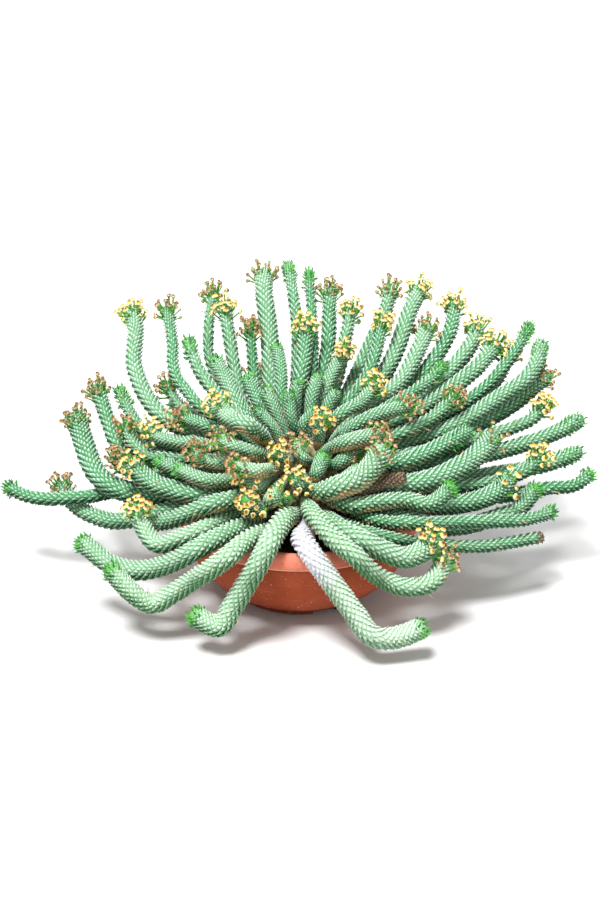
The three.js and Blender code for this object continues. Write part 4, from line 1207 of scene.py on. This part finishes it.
skin = skinMaterial("greenSkin")
skinPowdery = skinMaterial("powderySkin", powder=0.9)
skinBright = skinMaterial("brightSkin", bright=1.0)
brightNames = [
    "back_tallest", "back_tall", "right_far_tip", "left_plain", "back_left_bent", "right_green_bloom",
]
groups = {
    "armPowdery": (["front_pale"], skinPowdery, "skin_powdery"),
    "armsBright": (brightNames, skinBright, "skin_bright"),
    "armsYoung": (list(youngArms), skin, "skin"),
    "armsRear": (list(rearArms), skin, "skin"),
}
prefixes = {
    "armsFront": "front_", "armsLeft": "left_", "armsBack": "back_", "armsBackRight": "right_back_",
    "armsFarRight": "right_far_", "armsRight": "right_",
}
for title, prefix in prefixes.items():
    taken = [n for names, _, _ in groups.values() for n in names]
    groups[title] = ([n for n in longArms if n.startswith(prefix) and n not in taken], skin, "skin")

number = 0
for title, (names, material, slotName) in groups.items():
    parts = []
    for name in names:
        arm = growArm(name, number)
        arm.data.materials.clear()
        arm.data.materials.append(material)
        parts.append(arm)
        number += 1
    piece = joined(parts, title)
    bpy.ops.object.shade_smooth()
    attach(piece, "root")
    nodes = ["arm_" + n for n in names if n in longArms] or ["stem"]
    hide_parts(*nodes)
    print(title, len(names), "arms", len(piece.data.polygons), "faces")
for ring in baseRings.values():
    throwAway(ring)

stalkGreen = plainGrain("stalkGreen", (70, 150, 40), (140, 200, 80), 300.0, 0.5, 0.1)
lobeCream = plainGrain("lobeCream", (238, 216, 134), (254, 246, 214), 500.0, 0.6, 0.1)
middleGold = plainGrain("middleGold", (214, 164, 40), (250, 218, 92), 600.0, 0.6, 0.2)
eye = plainGrain("eye", (92, 52, 30), (168, 108, 44), 400.0, 0.7, 0.2)
lobeFaded = plainGrain("lobeFaded", (150, 122, 84), (240, 222, 182), 300.0, 0.7, 0.2)
middleBrown = plainGrain("middleBrown", (92, 60, 38), (190, 142, 84), 300.0, 0.7, 0.2)
leafGreen = plainGrain("leafGreen", (30, 104, 62), (96, 184, 70), 70.0, 0.5, 0.1)
straw = plainGrain("straw", (176, 140, 90), (232, 206, 160), 200.0, 0.8, 0.2)

spread = flowerShape["spread"]
freshFlower = modelFlower("freshFlower", (stalkGreen, lobeCream, middleGold, eye), spread, 1.0)
fadedFlower = modelFlower("fadedFlower", (stalkGreen, lobeFaded, middleBrown, eye), 0.8 * spread, 0.6)
leaf = modelLeaf()
leaf.data.materials.append(leafGreen)
dryStalk = copyOf(leaf, "dryStalk")
dryStalk.data.materials.clear()
dryStalk.data.materials.append(straw)
dryStalk.data.transform(Matrix.Diagonal((0.4, 0.9, 1.4, 1)))
shoots = {"freshBlooms": [], "fadedBlooms": [], "tipLeaves": [], "dryStalks": []}
for name in armPaths:
    kind = armPaths[name][0]
    size = flowerShape["posySize"] if "posy" in name else 1.0
    if kind == "fresh":
        shoots["freshBlooms"] += plantOn(name, "flowers", freshFlower, size, chance)
    if kind == "faded":
        shoots["fadedBlooms"] += plantOn(name, "flowers", fadedFlower, size, chance)
    shoots["tipLeaves"] += plantOn(name, "leaves", leaf, 1.0, chance)
    shoots["dryStalks"] += plantOn(name, "stalks", dryStalk, 1.0, chance)
for title, parts in shoots.items():
    piece = joined(parts, title)
    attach(piece, "root")
    print(title, len(parts), "copies", len(piece.data.polygons), "faces")
for pattern in (freshFlower, fadedFlower, leaf, dryStalk):
    throwAway(pattern)

bowl = modelBowl(terracottaMaterial())
soil = modelSoil(plainGrain("soil", (18, 14, 12), (62, 50, 42), 220.0, 0.95, 0.6), chance)
stem = modelStem(plainGrain("bark", (96, 74, 54), (208, 186, 154), 160.0, 0.9, 0.8), chance)
for piece, node, slotName in ((bowl, "bowl", "terracotta"), (soil, "soil", "soil"), (stem, "stem", "bark")):
    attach(piece, "root")
    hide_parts(node)
print("bowl, soil and stem")
